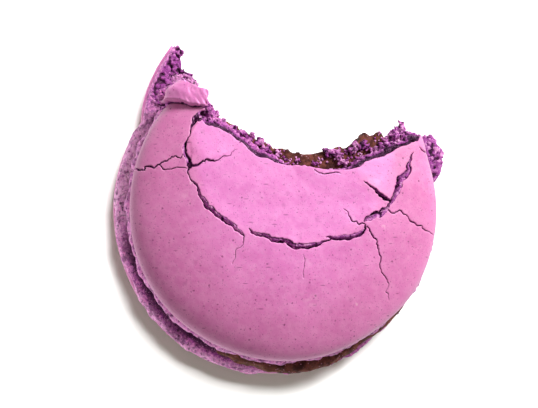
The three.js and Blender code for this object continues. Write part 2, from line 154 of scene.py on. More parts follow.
# Sunken middle of the crust, whose first ten points are its hinge, and the two plates beside it
SUNKEN = [
    (-14.6, 5.3), (-13.5, 1.3), (-11.0, -1.9), (-7.0, -4.4), (-3.2, -5.0), (0.8, -6.3), (6.4, -5.0),
    (11.4, -2.9), (14.9, 0.6), (11.4, 3.5), (11.5, 12), (-7.4, 12), (-7.4, 8.1), (-11.5, 6.4),
]
SMALL_PLATE = [
    (-14.9, 5.3), (-12.8, 5.8), (-11.5, 6.4), (-9.3, 7.0), (-7.4, 8.1), (-7.4, 13), (-12, 14.5), (-15.5, 8.2),
]
RIGHT_PLATE = [
    (11.4, 3.5), (14.9, 0.6), (16.3, 2.2), (16.8, 3.7), (17.7, 4.9), (18.4, 7.0), (19.4, 9.0), (20, 13),
    (11.5, 12),
]
HINGE = SUNKEN[:10]
SINK_SLOPE = 0.075

# Plates that stand up along one side of a crack: crack, side, rise, reach, and from and to along it
LIFTS = [
    ("plate_edge", 1, 0.24, 3.6, -0.5, 1.0),
    ("right_branch", 1, 0.2, 2.8, 0.0, 1.6),
    ("right_arm", -1, 0.22, 3.0, 0.3, 1.0),
    ("left_arm", -1, 0.16, 3.0, 0.1, 1.0),
    ("middle_smile", 1, 0.1, 2.5, 0.0, 1.0),
    ("left_smile", 1, 0.1, 2.5, 0.2, 1.0),
]

# Where each shell's edge begins to be pushed out of round
UPPER_EDGE, LOWER_EDGE = UPPER_R * 0.7, LOWER_R * 0.6

# The lower shell's splayed horn and squeezed chunk: where they lie, in degrees, and how far out
HORN_START, HORN_TIP, HORN_REACH = 146, 122.7, 5.3
CHUNK_START, CHUNK_WIDTH, CHUNK_REACH = 10.5, 22.5, 4.1

# The flap at the upper left: how far it slid left and up, and how soon the slide is whole past its crack
FLAP_LEFT, FLAP_UP, FLAP_FADE = 1.125, 0.99, 2.4

# How ragged the crusts are along the bite
BITE_JAG = 0.24


# Numbers and noise

def hashed(ix, iy, iz, seed):
    """Repeatable random numbers from 0 to 1 at whole-number places."""
    h = (ix.astype(np.int64) * 374761393 + iy.astype(np.int64) * 668265263
         + iz.astype(np.int64) * 1274126177 + seed * 974634777) & 0xFFFFFFFF
    h = h.astype(np.uint32)
    h ^= h >> np.uint32(15)
    h *= np.uint32(0x2C1B3C6D)
    h ^= h >> np.uint32(12)
    h *= np.uint32(0x297A2D39)
    h ^= h >> np.uint32(15)
    return h.astype(np.float32) / np.float32(4294967296)


def waves(p, size, seed):
    """Smooth noise from -1 to 1, with lumps about `size` wide."""
    q = p / size
    i = np.floor(q).astype(np.int64)
    f = (q - i).astype(np.float32)
    f = f * f * (3 - 2 * f)
    total = 0
    for dx, dy, dz in itertools.product((0, 1), repeat=3):
        weight = (f[:, 0] if dx else 1 - f[:, 0]) * (f[:, 1] if dy else 1 - f[:, 1])
        weight = weight * (f[:, 2] if dz else 1 - f[:, 2])
        total = total + weight * hashed(i[:, 0] + dx, i[:, 1] + dy, i[:, 2] + dz, seed)
    return total * 2 - 1


def grains(p, size, seed):
    """Distance to the nearest of scattered grains as a share of their size, and that grain's number."""
    q = p / size
    i = np.floor(q).astype(np.int64)
    best = np.full(len(p), 9.0, np.float32)
    number = np.zeros(len(p), np.float32)
    for dx, dy, dz in itertools.product((-1, 0, 1), repeat=3):
        cx, cy, cz = i[:, 0] + dx, i[:, 1] + dy, i[:, 2] + dz
        d = ((cx + hashed(cx, cy, cz, seed) - q[:, 0]) ** 2
             + (cy + hashed(cx, cy, cz, seed + 1) - q[:, 1]) ** 2
             + (cz + hashed(cx, cy, cz, seed + 2) - q[:, 2]) ** 2)
        near = d < best
        best[near] = d[near]
        number[near] = hashed(cx, cy, cz, seed + 3)[near]
    return np.sqrt(best), number


def step(x, low, high):
    """A smooth step from 0 at low to 1 at high."""
    t = np.clip((x - low) / (high - low), 0, 1)
    return t * t * (3 - 2 * t)


def dome_share(share):
    return np.maximum(0, 1 - np.minimum(share, 1) ** DOME_POWER) ** (1 / DOME_POWER)


def stack(x, y, z):
    return np.stack(np.broadcast_arrays(x, y, z), 1).astype(np.float32)


# Plan curves and maps

def spline(points, spacing):
    """A smooth open curve through points of any width, at an even spacing of its first two columns."""
    p = np.array(points, float)
    p = np.vstack([2 * p[0] - p[1], p, 2 * p[-1] - p[-2]])
    out = []
    for a, b, c, d in zip(p[:-3], p[1:-2], p[2:-1], p[3:]):
        n = max(2, int(np.hypot(*(c - b)[:2]) / spacing * 2))
        t = np.linspace(0, 1, n, endpoint=False)[:, None]
        out.append(0.5 * (2 * b + (c - a) * t + (2 * a - 5 * b + 4 * c - d) * t ** 2
                          + (3 * b - a - 3 * c + d) * t ** 3))
    out = np.vstack(out + [p[-2:-1]])
    length = np.concatenate([[0], np.cumsum(np.hypot(*np.diff(out[:, :2], axis=0).T))])
    at = np.linspace(0, length[-1], max(3, int(length[-1] / spacing) + 1))
    return np.stack([np.interp(at, length, out[:, k]) for k in range(out.shape[1])], 1)


def side_vectors(line):
    """Unit vectors to the left of a line at each of its points."""
    t = np.gradient(line[:, :2], axis=0)
    t /= np.maximum(np.linalg.norm(t, axis=1, keepdims=True), 1e-9)
    return np.stack([-t[:, 1], t[:, 0]], 1)


def jagged(line, size, amount, seed):
    """The line with its points moved sideways by noise."""
    p = stack(line[:, 0], line[:, 1], 0.5)
    shift = amount * (0.65 * waves(p, size, seed) + 0.35 * waves(p, size * 0.4, seed + 7))
    moved = line.copy()
    moved[:, :2] += side_vectors(line) * shift[:, None]
    return moved


def zigzag(line, pitch, amount, seed):
    """Sideways steps along a line, with sharp corners about `pitch` apart."""
    length = np.concatenate([[0], np.cumsum(np.hypot(*np.diff(line[:, :2], axis=0).T))])
    count = int(length[-1] / pitch) + 3
    rng = np.random.default_rng(seed)
    corner = (np.arange(count) + rng.uniform(-0.35, 0.35, count)) * pitch
    return amount * np.interp(length, corner, rng.uniform(-1, 1, count))


def cracked(path, rough, seed):
    """A crack's middle line: a smooth path made to zigzag."""
    line = spline(path, 0.09)
    shift = rough * (zigzag(line, 0.7, 0.14, seed) + zigzag(line, 0.28, 0.06, seed + 50))
    line[:, :2] += side_vectors(line) * shift[:, None]
    return line


def inside(x, y, outline):
    """Whether points lie in a closed outline."""
    result = np.zeros(np.shape(x), bool)
    o = np.asarray(outline, float)
    for (ax, ay), (bx, by) in zip(o, np.roll(o, -1, axis=0)):
        if ay == by:
            continue
        hit = (ay > y) != (by > y)
        result ^= hit & (x < (bx - ax) * (y - ay) / (by - ay) + ax)
    return result


def to_line(x, y, line):
    """Distance to an open line, with its sign (left is positive), and the share along the line."""
    best = np.full(np.shape(x), 1e9)
    side = np.ones(np.shape(x))
    share = np.zeros(np.shape(x))
    for i, (a, b) in enumerate(zip(line[:-1], line[1:])):
        dx, dy = b[0] - a[0], b[1] - a[1]
        t = np.clip(((x - a[0]) * dx + (y - a[1]) * dy) / (dx * dx + dy * dy + 1e-12), 0, 1)
        ex, ey = x - a[0] - t * dx, y - a[1] - t * dy
        d = ex * ex + ey * ey
        near = d < best
        best = np.where(near, d, best)
        side = np.where(near, np.sign(dx * ey - dy * ex), side)
        share = np.where(near, (i + t) / (len(line) - 1), share)
    return np.sqrt(best), side, share


def between(w, u, v):
    """A grid's values read between its points."""
    u, v = np.clip(u, 0, w.shape[0] - 1.001), np.clip(v, 0, w.shape[1] - 1.001)
    i, j = u.astype(int), v.astype(int)
    fu, fv = u - i, v - j
    return ((w[i, j] * (1 - fu) + w[i + 1, j] * fu) * (1 - fv)
            + (w[i, j + 1] * (1 - fu) + w[i + 1, j + 1] * fu) * fv)


class PlanMap:
    """A function of x and y kept on a grid, and read between its points."""
    SPAN, STEP = 31.0, 0.1

    def __init__(self, function):
        axis = np.linspace(-self.SPAN, self.SPAN, int(2 * self.SPAN / self.STEP) + 1)
        x, y = np.meshgrid(axis, axis, indexing="ij")
        self.values = function(x, y).astype(np.float32)

    def __call__(self, x, y):
        u, v = ((np.asarray(place) + self.SPAN) / self.STEP for place in (x, y))
        return between(self.values, u, v)


def bite_map(points):
    """How far a plan point lies inside what the teeth took; negative in what is left."""
    line = spline(points, 0.4)
    outline = np.vstack([line, [(90, 90), (-90, 90)]])

    def function(x, y):
        distance = to_line(x, y, line)[0]
        return np.where(inside(x, y, outline), distance, -distance)
    return PlanMap(function)


upper_bite, filling_bite, lower_bite = (bite_map(b) for b in (UPPER_BITE, FILLING_BITE, LOWER_BITE))
crack_lines = {
    name: cracked(path, ROUGHNESS.get(name, 1.0), 40 + i)
    for i, (name, (depth, path)) in enumerate(CRACKS.items())
}


def along_cracks(x, y, zone):
    """Over the whole plan: how deep the crumb is split, how far it fills a crack, or the zone beside it."""
    most = np.zeros(x.shape)
    for name, (depth, _) in CRACKS.items():
        line = crack_lines[name][::4]
        low, high = line[:, :2].min(0) - 2, line[:, :2].max(0) + 2
        near = (x > low[0]) & (x < high[0]) & (y > low[1]) & (y < high[1])
        d, side, share = to_line(x[near], y[near], line)
        width = np.interp(share, np.linspace(0, 1, len(line)), line[:, 2])
        half = 0.5 * width
        deep = DEEP_SIDE.get(name, 0)
        if zone == "beside":
            value = 1.5 - d + half
        elif zone == "fill":
            across = 0.5 + 0.5 * deep * side * np.minimum(d / (half + 0.02), 1)
            value = 0.42 * step(width, 0.25, 0.5) * np.clip((half + 0.14 - d) / 0.14, 0, 1)
            value = value * (1 - across ** 2)
        else:
            fall = np.clip(1 - d / (0.6 * width + 0.05), 0, 1) ** 0.75
            across = np.clip(0.5 + 0.5 * deep * side * d / (half + 0.02), 0, 1)
            window = np.clip((half + 0.22 - d) / 0.2, 0, 1)
            slanted = window * (0.02 + 0.98 * across ** 2.6)
            value = depth * np.where(deep != 0, slanted, fall) * np.clip(width / 0.5, 0.2, 1)
        most[near] = np.maximum(most[near], value)
    return most


def hinge_distance(x, y):
    """Distance from the hinge in the sunken middle, which fades out over the two plates beside it."""
    small = (1 - np.clip(-(x + 7.4) / 7.6, 0, 1) ** 1.8) * inside(x, y, SMALL_PLATE)
    right = (1 - step(x, 11.0, 17.5)) * inside(x, y, RIGHT_PLATE)
    return to_line(x, y, np.array(HINGE))[0] * np.where(inside(x, y, SUNKEN), 1.0, small + right)


groove = PlanMap(lambda x, y: along_cracks(x, y, "split"))
crack_fill = PlanMap(lambda x, y: along_cracks(x, y, "fill"))
crack_zone = PlanMap(lambda x, y: along_cracks(x, y, "beside"))
hinge_map = PlanMap(hinge_distance)


def sunk(x, y):
    return SINK_SLOPE * hinge_map(x, y)


def lift(x, y):
    """How far the plates stand up beside the cracks."""
    total = np.zeros(np.shape(x))
    for name, side, rise, reach, start, end in LIFTS:
        line = crack_lines[name][::4]
        d, s, share = to_line(x, y, line)
        ax, ay = line[0, :2]
        bx, by = line[-1, :2] - line[0, :2]
        along = ((x - ax) * bx + (y - ay) * by) / (bx * bx + by * by)
        window = step(along, start, start + 0.5) * step(end - along, 0, 0.5)
        beside = (s == side) & (share > 1e-6) & (share < 1 - 1e-6)
        total += np.where(beside, rise * window * np.exp(-(d / reach) ** 2 * 2), 0)
    return total


def out_of_round(angle):
    return 0.16 * np.sin(2 * angle + 0.8) + 0.1 * np.sin(5 * angle + 2.1)


def upper_push(angle):
    """How far the upper shell's edge lies out from its circle, most at the bite's corner."""
    degrees = np.degrees(angle)
    corner = 0.85 * np.exp(-((degrees - 31) / 9) ** 2)
    low_right = 0.35 * np.exp(-((degrees + 33) / 15) ** 2)
    return out_of_round(angle) + 0.4 * np.maximum(0, np.cos(angle)) ** 2 + (corner + low_right)


def ruffle(angle, z):
    return 0.2 * (np.sin(17 * angle + 2 * z) + 0.7 * np.sin(29 * angle - 3 * z + 1.1))


def lower_push(angle):
    """How far the lower shell's edge is pushed out: the splayed horn and the squeezed foot."""
    degrees = np.degrees(angle)
    along = (HORN_START - degrees) / (HORN_START - HORN_TIP)
    horn = np.where((degrees > 90) & (along > 0), HORN_REACH * np.clip(along, 0, 1.1) ** 0.85, 0)
    into = np.clip((degrees - CHUNK_START) / CHUNK_WIDTH, 0, 1)
    return horn + CHUNK_REACH * np.maximum(0, np.sin(np.pi * into)) ** 0.42


# The flap at the upper left: the piece of dome that slid out and up when it was bitten

FLAP_GAP = spline(CRACKS["flap"][1], 0.3)
FLAP_BEYOND = np.linspace(-1, 8, 200)
FLAP_BEFORE = FLAP_BEYOND - FLAP_UP * step(FLAP_BEYOND, -0.2, FLAP_FADE)


def flap_distance(x, y):
    """Distance past the flap's crack; negative outside the flap."""
    d, side, _ = to_line(x, y, FLAP_GAP)
    return np.where((side > 0) & (x < -10) & (y > 12.5), d, -1)


def flap_share(x, y, slid):
    """How much of the slide a place has; slid says whether the place is given after the slide."""
    d = flap_distance(x, y)
    return step(d if slid else np.interp(d, FLAP_BEFORE, FLAP_BEYOND), -0.2, FLAP_FADE)


def flap_splay(x, y):
    """How far the flap's rim is pushed out to the left, at a place before the slide."""
    round_rim = np.clip((np.degrees(np.arctan2(y, x)) - 130) / 11, 0, 1) ** 2.6
    return 2.5 * step(np.hypot(x, y), 17.0, 23.0) * round_rim


flap_map = PlanMap(lambda x, y: flap_share(x, y, True))
flap_edge_map = PlanMap(lambda x, y: step(flap_distance(x, y), -0.1, 0.4))


# Solids from fields, as even quads

def surface_net(rough, fine, low, high, size, band, least=None):
    """The surface where a field is 0. rough(p) is cheap and used everywhere; fine(p, rough) near it."""
    axes = [np.arange(a, b + size, size, dtype=np.float32) for a, b in zip(low, high)]
    grid = np.stack(np.meshgrid(*axes, indexing="ij"), -1).reshape(-1, 3)
    values = rough(grid).astype(np.float32)
    near = np.flatnonzero(np.abs(values) < band)
    values[near] = fine(grid[near], values[near])
    del grid
    v = values.reshape([len(a) for a in axes])
    for axis in range(3):
        edge = [slice(None)] * 3
        for end in (0, -1):
            edge[axis] = end
            v[tuple(edge)] = 9
    untangle(v, size)
    solid = v < 0
    cells = [n - 1 for n in v.shape]
    count = np.zeros(cells, np.int8)
    for corner in itertools.product((0, 1), repeat=3):
        count += solid[tuple(slice(c, c + n) for c, n in zip(corner, cells))]
    active = (count > 0) & (count < 8)
    ids = np.full(cells, -1, np.int64)
    ids[active] = np.arange(active.sum())
    where = np.argwhere(active)
    total, hits = np.zeros((len(where), 3)), np.zeros(len(where))
    for corner in itertools.product((0, 1), repeat=3):
        for axis in range(3):
            if corner[axis]:
                continue
            other = list(corner)
            other[axis] = 1
            a = v[tuple((where + corner).T)]
            b = v[tuple((where + other).T)]
            cross = (a < 0) != (b < 0)
            place = np.repeat([corner], cross.sum(), 0).astype(float)
            place[:, axis] += a[cross] / (a[cross] - b[cross])
            total[cross] += place
            hits[cross] += 1
    points = np.array([a[0] for a in axes]) + size * (where + total / hits[:, None])
    quads = []
    for axis in range(3):
        b, c = (axis + 1) % 3, (axis + 2) % 3
        first = np.moveaxis(solid, (axis, b, c), (0, 1, 2))
        id_view = np.moveaxis(ids, (axis, b, c), (0, 1, 2))
        change = first[:-1, 1:-1, 1:-1] != first[1:, 1:-1, 1:-1]
        i, j, k = np.nonzero(change)
        flip = first[i, j + 1, k + 1]
        loop = np.stack([id_view[i, j, k], id_view[i, j + 1, k], id_view[i, j + 1, k + 1],
                         id_view[i, j, k + 1]], 1)
        loop[~flip] = loop[~flip][:, ::-1]
        quads.append(loop)
    return largest(points, np.vstack(quads), least)


def untangle(v, size):
    """Fills the diagonal corners that would make a surface touch itself along an edge."""
    for _ in range(20):
        changed = 0
        for a, b in ((0, 1), (0, 2), (1, 2)):
            def part(da, db):
                s = [slice(None)] * 3
                s[a] = slice(da, v.shape[a] - 1 + da)
                s[b] = slice(db, v.shape[b] - 1 + db)
                return tuple(s)
            s = v < 0
            p, q, r, t = s[part(0, 0)], s[part(1, 0)], s[part(0, 1)], s[part(1, 1)]
            for bad, corner in ((p & t & ~q & ~r, (1, 0)), (q & r & ~p & ~t, (0, 0))):
                if bad.any():
                    changed += 1
                    v[part(*corner)][bad] = -0.05 * size
        if not changed:
            return


def joined(count, pairs):
    """A label for each point, the same for all the points that the pairs join."""
    label = np.arange(count)
    while True:
        low = np.minimum(label[pairs[:, 0]], label[pairs[:, 1]])
        new = label.copy()
        np.minimum.at(new, label[pairs[:, 0]], low)
        np.minimum.at(new, label[pairs[:, 1]], low)
        while (new[new] != new).any():
            new = new[new]
        if (new == label).all():
            return label
        label = new


def largest(points, faces, least=None):
    """The largest connected surface, or those with at least so many faces, without loose bits and bubbles."""
    label = joined(len(points), np.vstack([faces[:, [0, 1]], faces[:, [1, 2]], faces[:, [2, 3]]]))
    count = np.bincount(label[faces[:, 0]], minlength=len(points))
    keep = label == count.argmax() if least is None else count[label] >= least
    number = np.cumsum(keep) - 1
    return points[keep], number[faces[keep[faces[:, 0]]]]


def relax(points, faces, rounds, amount):
    """Moves each point towards the mean of its neighbours."""
    pairs = np.vstack([faces[:, [0, 1]], faces[:, [1, 2]], faces[:, [2, 3]], faces[:, [3, 0]]])
    n = np.bincount(pairs.ravel(), minlength=len(points))[:, None]
    for _ in range(rounds):
        total = np.stack([
            np.bincount(pairs[:, 0], points[pairs[:, 1], k], len(points))
            + np.bincount(pairs[:, 1], points[pairs[:, 0], k], len(points)) for k in range(3)], 1)
        points = points + amount * (total / n - points)
    return points


def add_object(name, data):
    """A new object in the scene."""
    obj = bpy.data.objects.new(name, data)
    bpy.context.scene.collection.objects.link(obj)
    return obj


def make_piece(name, points, faces, material, attributes):
    """A Blender object from points in millimetres."""
    mesh = bpy.data.meshes.new(name)
    mesh.from_pydata((points * MM).tolist(), [], faces.tolist() if hasattr(faces, "tolist") else faces)
    mesh.polygons.foreach_set("use_smooth", [True] * len(mesh.polygons))
    for key, values in attributes.items():
        layer = mesh.attributes.new(key, "FLOAT", "POINT")
        layer.data.foreach_set("value", np.asarray(values, np.float32))
    mesh.materials.append(material)
    mesh.update()
    return add_object(name, mesh)


# Half sections

class Section:
    """Signed distance to a closed outline in radius and height, kept on a grid."""
    R, LOW, HIGH, STEP = 27.0, -2.0, 10.0, 0.06

    def __init__(self, outline):
        r = np.arange(-1, self.R, self.STEP)
        h = np.arange(self.LOW, self.HIGH, self.STEP)
        gr, gh = np.meshgrid(r, h, indexing="ij")
        o = np.array(outline, float)
        closed = np.vstack([[(-o[0, 0] - 5, o[0, 1])], o, [(-5, o[-1, 1])]])
        distance = to_line(gr, gh, closed)[0]
        self.values = np.where(inside(gr, gh, closed), -distance, distance).astype(np.float32)

    def __call__(self, r, h):
        return between(self.values, (r + 1) / self.STEP, (h - self.LOW) / self.STEP)


def foot_outline(foot_r, foot_h):
    bulge = NECK * 1.6
    turn = np.pi * (np.linspace(0, 1, 9) - 0.5)
    return [(foot_r - bulge + bulge * math.cos(t), foot_h * (1 + math.sin(t)) / 2) for t in turn]


def dome_outline(radius, foot_h, dome_h, steps=60, drop=0.0):
    share = 1 - np.linspace(0, 1, steps) ** 2.2
    return [(radius * s - drop * (s > 0.97) * 0.9, foot_h + RIM_RISE + dome_h * dome_share(s) - drop)
            for s in share]


def crumb_section(radius, foot_r, foot_h, dome_h):
    """The crumb of a shell: its foot, and what lies under its crust."""
    return Section(foot_outline(foot_r, foot_h)
                   + [(radius - NECK - CRUST * 0.5, foot_h + 0.05)]
                   + dome_outline(radius - CRUST * 0.6, foot_h, dome_h, 60, CRUST * 0.75))


def crust_section(radius, foot_h, dome_h):
    """Outer line of a crust from its crown to its hem under the rim, as arc length, radius and height."""
    dome = dome_outline(radius, foot_h, dome_h, 90)[::-1]
    hem = [(radius - 0.02, foot_h + RIM_RISE * 0.75), (radius - 0.14, foot_h + RIM_RISE * 0.42),
           (radius - NECK * 0.8, foot_h + 0.12), (radius - NECK - 0.25, foot_h + 0.02)]
    line = spline(np.array(dome + hem), 0.05)
    length = np.concatenate([[0], np.cumsum(np.hypot(*np.diff(line, axis=0).T))])
    return length, line[:, 0], line[:, 1]


# Crumb, foot and ganache surfaces

def crumb_relief(p, seed):
    """Torn meringue: round grains with clefts between them, pores and finer grains, as a height."""
    lumps = 0.24 * waves(p, 1.9, seed) + 0.16 * waves(p, 0.8, seed + 1)
    near, number = grains(p, 0.6, seed + 2)
    pore, _ = grains(p, 1.25, seed + 9)
    ball = np.sqrt(np.clip(1 - (near / 0.74) ** 2, 0, 1))
    return (lumps + (0.4 + 0.42 * number) * (ball - 0.62) + 0.08 * waves(p, 0.3, seed + 6)
            - 0.65 * (1 - step(pore + 0.06 * waves(p, 0.4, seed + 8), 0.1, 0.34)))


def covered_relief(p, under, seed):
    """Torn relief that doesn't stand up through the crust where it lies under it."""
    relief = crumb_relief(p, seed)
    return relief - under * np.maximum(relief - 0.08, 0)


def where_needed(share, function, *arrays):
    """The function's values at the points where a share is over 0, times that share."""
    result = np.zeros(len(share), np.float32)
    use = share > 0.01
    if use.any():
        result[use] = share[use] * function(*(a[use] for a in arrays))
    return result


def foot_relief(p, angle, seed):
    """The foot's frill: blisters and pores squeezed upwards."""
    q = stack(p[:, 0], p[:, 1], p[:, 2] * 0.7)
    near, _ = grains(q, 0.95, seed)
    pore, _ = grains(q, 0.8, seed + 5)
    return (0.15 + ruffle(angle, p[:, 2]) * 0.7 + 0.2 * waves(q, 1.3, seed + 3)
            + 0.4 * (0.5 - near) - 0.5 * (1 - step(pore, 0.1, 0.3)))


def upper_local(p):
    """Radius, angle and height of a point in the unbroken upper shell."""
    x, y, h = p[:, 0], p[:, 1], p[:, 2] - UPPER_BASE
    beyond = flap_map(x, y)
    x, y = x + FLAP_LEFT * beyond, y - FLAP_UP * beyond
    pushed, raised = flap_edge_map(p[:, 0] + 0.8, p[:, 1]), flap_edge_map(p[:, 0], p[:, 1])
    x = x + pushed * flap_splay(x + pushed * flap_splay(x, y), y)
    r, angle = np.hypot(x, y), np.arctan2(y, x)
    edge = step(r, UPPER_EDGE, UPPER_R)
    h = h - 1.0 * raised * step(r, 18.0, 23.0)
    return r - edge * upper_push(angle), angle, h + step(h, 1.8, 3.8) * (sunk(x, y) - 0.45 * raised)


REACH_X = [-14, -12.6, -11.4, -9, -6, -3, -1, 0.5, 5.0, 6.5, 8.0, 9.5, 13.5, 15.5, 19.5, 22]
REACH = [0.3, 0.8, 2.2, 2.3, 2.3, 2.3, 1.8, 0.6, 0.3, 0.9, 1.1, 0.8, 1.2, 1.7, 1.3, 0.2]


def upper_reach(p):
    """How far the torn crumb reaches out past the crust's edge, more at its foot than below the crust."""
    h = p[:, 2] - UPPER_BASE
    out = np.interp(p[:, 0], REACH_X, REACH) * (1 - step(p[:, 1], 13.6, 16.6))
    out = out + 0.7 * step(p[:, 1], 15.8, 17.4)
    out = out + 0.3 * waves(stack(p[:, 0], p[:, 1], 0.5), 1.6, 64)
    return out * (1 - step(h, 0.8, 5.2)) - 0.3 * step(h, 2.0, 4.6) - 0.1


UPPER_SECTION = crumb_section(UPPER_R, UPPER_FOOT_R, UPPER_FOOT_H, UPPER_DOME)
LOWER_SECTION = crumb_section(LOWER_R, LOWER_FOOT_R, LOWER_FOOT_H, LOWER_DOME)


def upper_parts(p):
    r, angle, h = upper_local(p)
    return UPPER_SECTION(r, h), upper_bite(p[:, 0], p[:, 1]) - upper_reach(p), angle, h


def upper_rough(p):
    return np.maximum(*upper_parts(p)[:2])


def upper_fine(p):
    """The crumb of the upper shell with its torn faces, its frilled foot and the splits under the cracks."""
    shell, bite, angle, h = upper_parts(p)
    foot = step(h, -0.1, 0.3) * (1 - step(h, 1.5, 2.1))
    cut = groove(p[:, 0], p[:, 1])
    shell = shell - crack_fill(p[:, 0], p[:, 1]) * (h > 2)
    torn = step(bite - shell, -1.3, -0.2) * step(h, 0.0, 0.35)
    field = np.maximum(shell, bite)
    field = np.maximum(field, np.minimum(shell + cut, 0.55 * (shell + cut) + 0.1))
    split = step(cut, 0.05, 0.5) * (h > 2)
    under = step(shell - bite, 0.0, 0.3) * (h > 1.9) * (1 - split)
    field -= where_needed(torn + (1 - torn) * split * 0.5, lambda q, u: covered_relief(q, u, 3), p, under)
    field -= where_needed(0.26 * torn * (1 - under) * (p[:, 0] < 2), lambda q: waves(q, 0.95, 65), p)
    field -= where_needed((1 - torn) * (1 - split) * foot * (field < 1.2),
                          lambda q, a: foot_relief(q, a, 21), p, angle)
    return field


def baked_share(shell, bite, h):
    return (1 - step(bite - shell, -0.9, -0.1)) * (1 - step(h, 1.9, 2.4))


def upper_crumb_piece(material, size):
    """The foot and the body, drawn back where the finer torn pieces cover it."""
    def fine(p, base):
        shell, bite, _, h = upper_parts(p)
        covered = np.maximum(step(-bite, 2.5, 1.8), step(crack_zone(p[:, 0], p[:, 1]), 0.0, 0.5) * (h > 2.4))
        return upper_fine(p) + 0.5 * covered
    box = ((-25.2, -24.8, UPPER_BASE - 0.35), (25.6, 21.0, UPPER_BASE + 8.3))
    points, faces = surface_net(upper_rough, fine, *box, size, 1.1)
    points = relax(points, faces, 1, 0.35)
    shell, bite, _, h = upper_parts(points)
    return crumb_object("upper_crumb", points, faces, material, 3, baked_share(shell, bite, h), 0.0,
                        np.full(len(points), 0.45))


def upper_torn_piece(material, size):
    """The upper shell's torn face along the bite."""
    def rough(p):
        shell, bite, _, _ = upper_parts(p)
        return np.maximum(np.maximum(shell, bite), -bite - 2.5)

    def fine(p, base):
        return np.maximum(upper_fine(p), -upper_parts(p)[1] - 2.5)
    box = ((-21.5, 2.2, UPPER_BASE - 0.35), (25.6, 20.5, UPPER_BASE + 8.0))
    points, faces = surface_net(rough, fine, *box, size, 0.8)
    points = relax(points, faces, 1, 0.3)
    shell, bite, _, h = upper_parts(points)
    blush = np.exp(-((points[:, 0] + 11.3) ** 2 + (points[:, 1] - 14.9) ** 2) / 2.6) * 0.95
    past = upper_bite(points[:, 0], points[:, 1]) * step(h, 0.4, 1.4)
    blush = np.maximum(blush, 0.6 * step(past, 1.1, 2.0) * (points[:, 0] < 0))
    depth = 0.6 * step(h, 2.3, 4.0) - 0.24 * (1 - step(h, 0.8, 2.4))
    baked = np.maximum(baked_share(shell, bite, h), blush)
    return crumb_object("upper_torn", points, faces, material, 3, baked, depth)


def crack_crumb_piece(material, size):
    """The crumb inside the cracks."""
    def limits(p, shell, h):
        return np.maximum(np.maximum(-shell - 2.3, 0.25 - crack_zone(p[:, 0], p[:, 1])), 2.3 - h)

    def rough(p):
        shell, bite, _, h = upper_parts(p)
        return np.maximum(np.maximum(shell, bite), limits(p, shell, h))

    def fine(p, base):
        shell, _, _, h = upper_parts(p)
        return np.maximum(upper_fine(p), limits(p, shell, h))
    box = ((-23.5, -15.0, UPPER_BASE + 1.5), (24.2, 17.0, UPPER_BASE + 8.0))
    points, faces = surface_net(rough, fine, *box, size, 0.7)
    points = relax(points, faces, 1, 0.3)
    # Darker deeper down in the crack: painted shade.
    deep = step(-upper_parts(points)[0], 0.4, 1.1)
    return crumb_object("crack_crumb", points, faces, material, 3, None, 0.9 * deep - 0.25)


def lower_local(p):
    """Radius, angle and height above the flat side of a point in the unpushed lower shell."""
    x, y, h = p[:, 0] - LOWER_X, p[:, 1] - LOWER_Y, LOWER_TOP - p[:, 2]
    r, angle = np.hypot(x, y), np.arctan2(y, x)
    push = lower_push(angle) + out_of_round(angle + 2)
    reach = LOWER_R + push
    outer = np.maximum(r - LOWER_EDGE, 0) / (reach - LOWER_EDGE) * (LOWER_R - LOWER_EDGE)
    return np.where(r > LOWER_EDGE, LOWER_EDGE + outer, r), angle, h


def lower_parts(p):
    r, angle, h = lower_local(p)
    shell = np.maximum(LOWER_SECTION(r, h), CRUST * 0.6 - p[:, 2])
    reach = -0.3 - 0.5 * step(3.5 - p[:, 2], 0, 3.5)
    return shell, lower_bite(p[:, 0], p[:, 1]) - reach, angle, h


def horn_skin(p):
    """The smooth skin along the horn's outer side."""
    r, angle, _ = lower_local(p)
    around = np.degrees(angle)
    return step(r, LOWER_R - 0.8, LOWER_R - 0.35) * step(around, 118, 122) * (1 - step(around, 142, 150))


def chunk_share(p, angle):
    """The squeezed chunk at the right of the bite, torn all over."""
    around = np.degrees(angle)
    return (step(around, 6, 11) * (1 - step(around, 34, 40)) * step(np.hypot(p[:, 0], p[:, 1]), 20, 22.5)
            * step(p[:, 2], 0.8, 2.5))


def lower_rough(p):
    return np.maximum(*lower_parts(p)[:2])


def lower_fine(p):
    """The crumb of the lower shell with its torn face, its bare top beside the ganache and its foot."""
    shell, bite, angle, h = lower_parts(p)
    foot = step(h, -0.3, 0.2) * (1 - step(h, 1.4, 2.0)) * (1 - horn_skin(p))
    torn = step(bite - shell, -1.3, -0.2) * (1 - step(h, 6.3, 7.0))
    bare = (1 - step(h, 0.3, 0.9)) * step(
        np.maximum(filling_bite(p[:, 0], p[:, 1]), np.hypot(p[:, 0], p[:, 1]) - 22.6), -0.8, 0.2)
    rim = step(np.hypot(p[:, 0], p[:, 1]), 21, 23)
    torn = np.maximum(torn, bare * step(p[:, 1], 11.5, 14))
    torn = np.maximum(torn, 0.5 * chunk_share(p, angle)) * (1 - 0.85 * horn_skin(p))
    field = np.maximum(shell, bite)
    field -= where_needed(torn, lambda q: crumb_relief(q, 31), p)
    even = 1 - 0.45 * np.exp(-((np.degrees(angle) % 360 - 172) / 24) ** 2)
    field -= where_needed((1 - torn) * foot * rim * even, lambda q, a: foot_relief(q, a, 51) + 0.22, p, angle)
    field -= 0.1 * (1 - even) * foot * rim
    return field


def lower_zone(p, bite):
    """Distance past the reach of the finer torn piece: deeper at the horn."""
    return -bite - 2.4 - 4.0 * step(-p[:, 0], 9, 13) - 6.0 * step(p[:, 0], 20.5, 22.5)


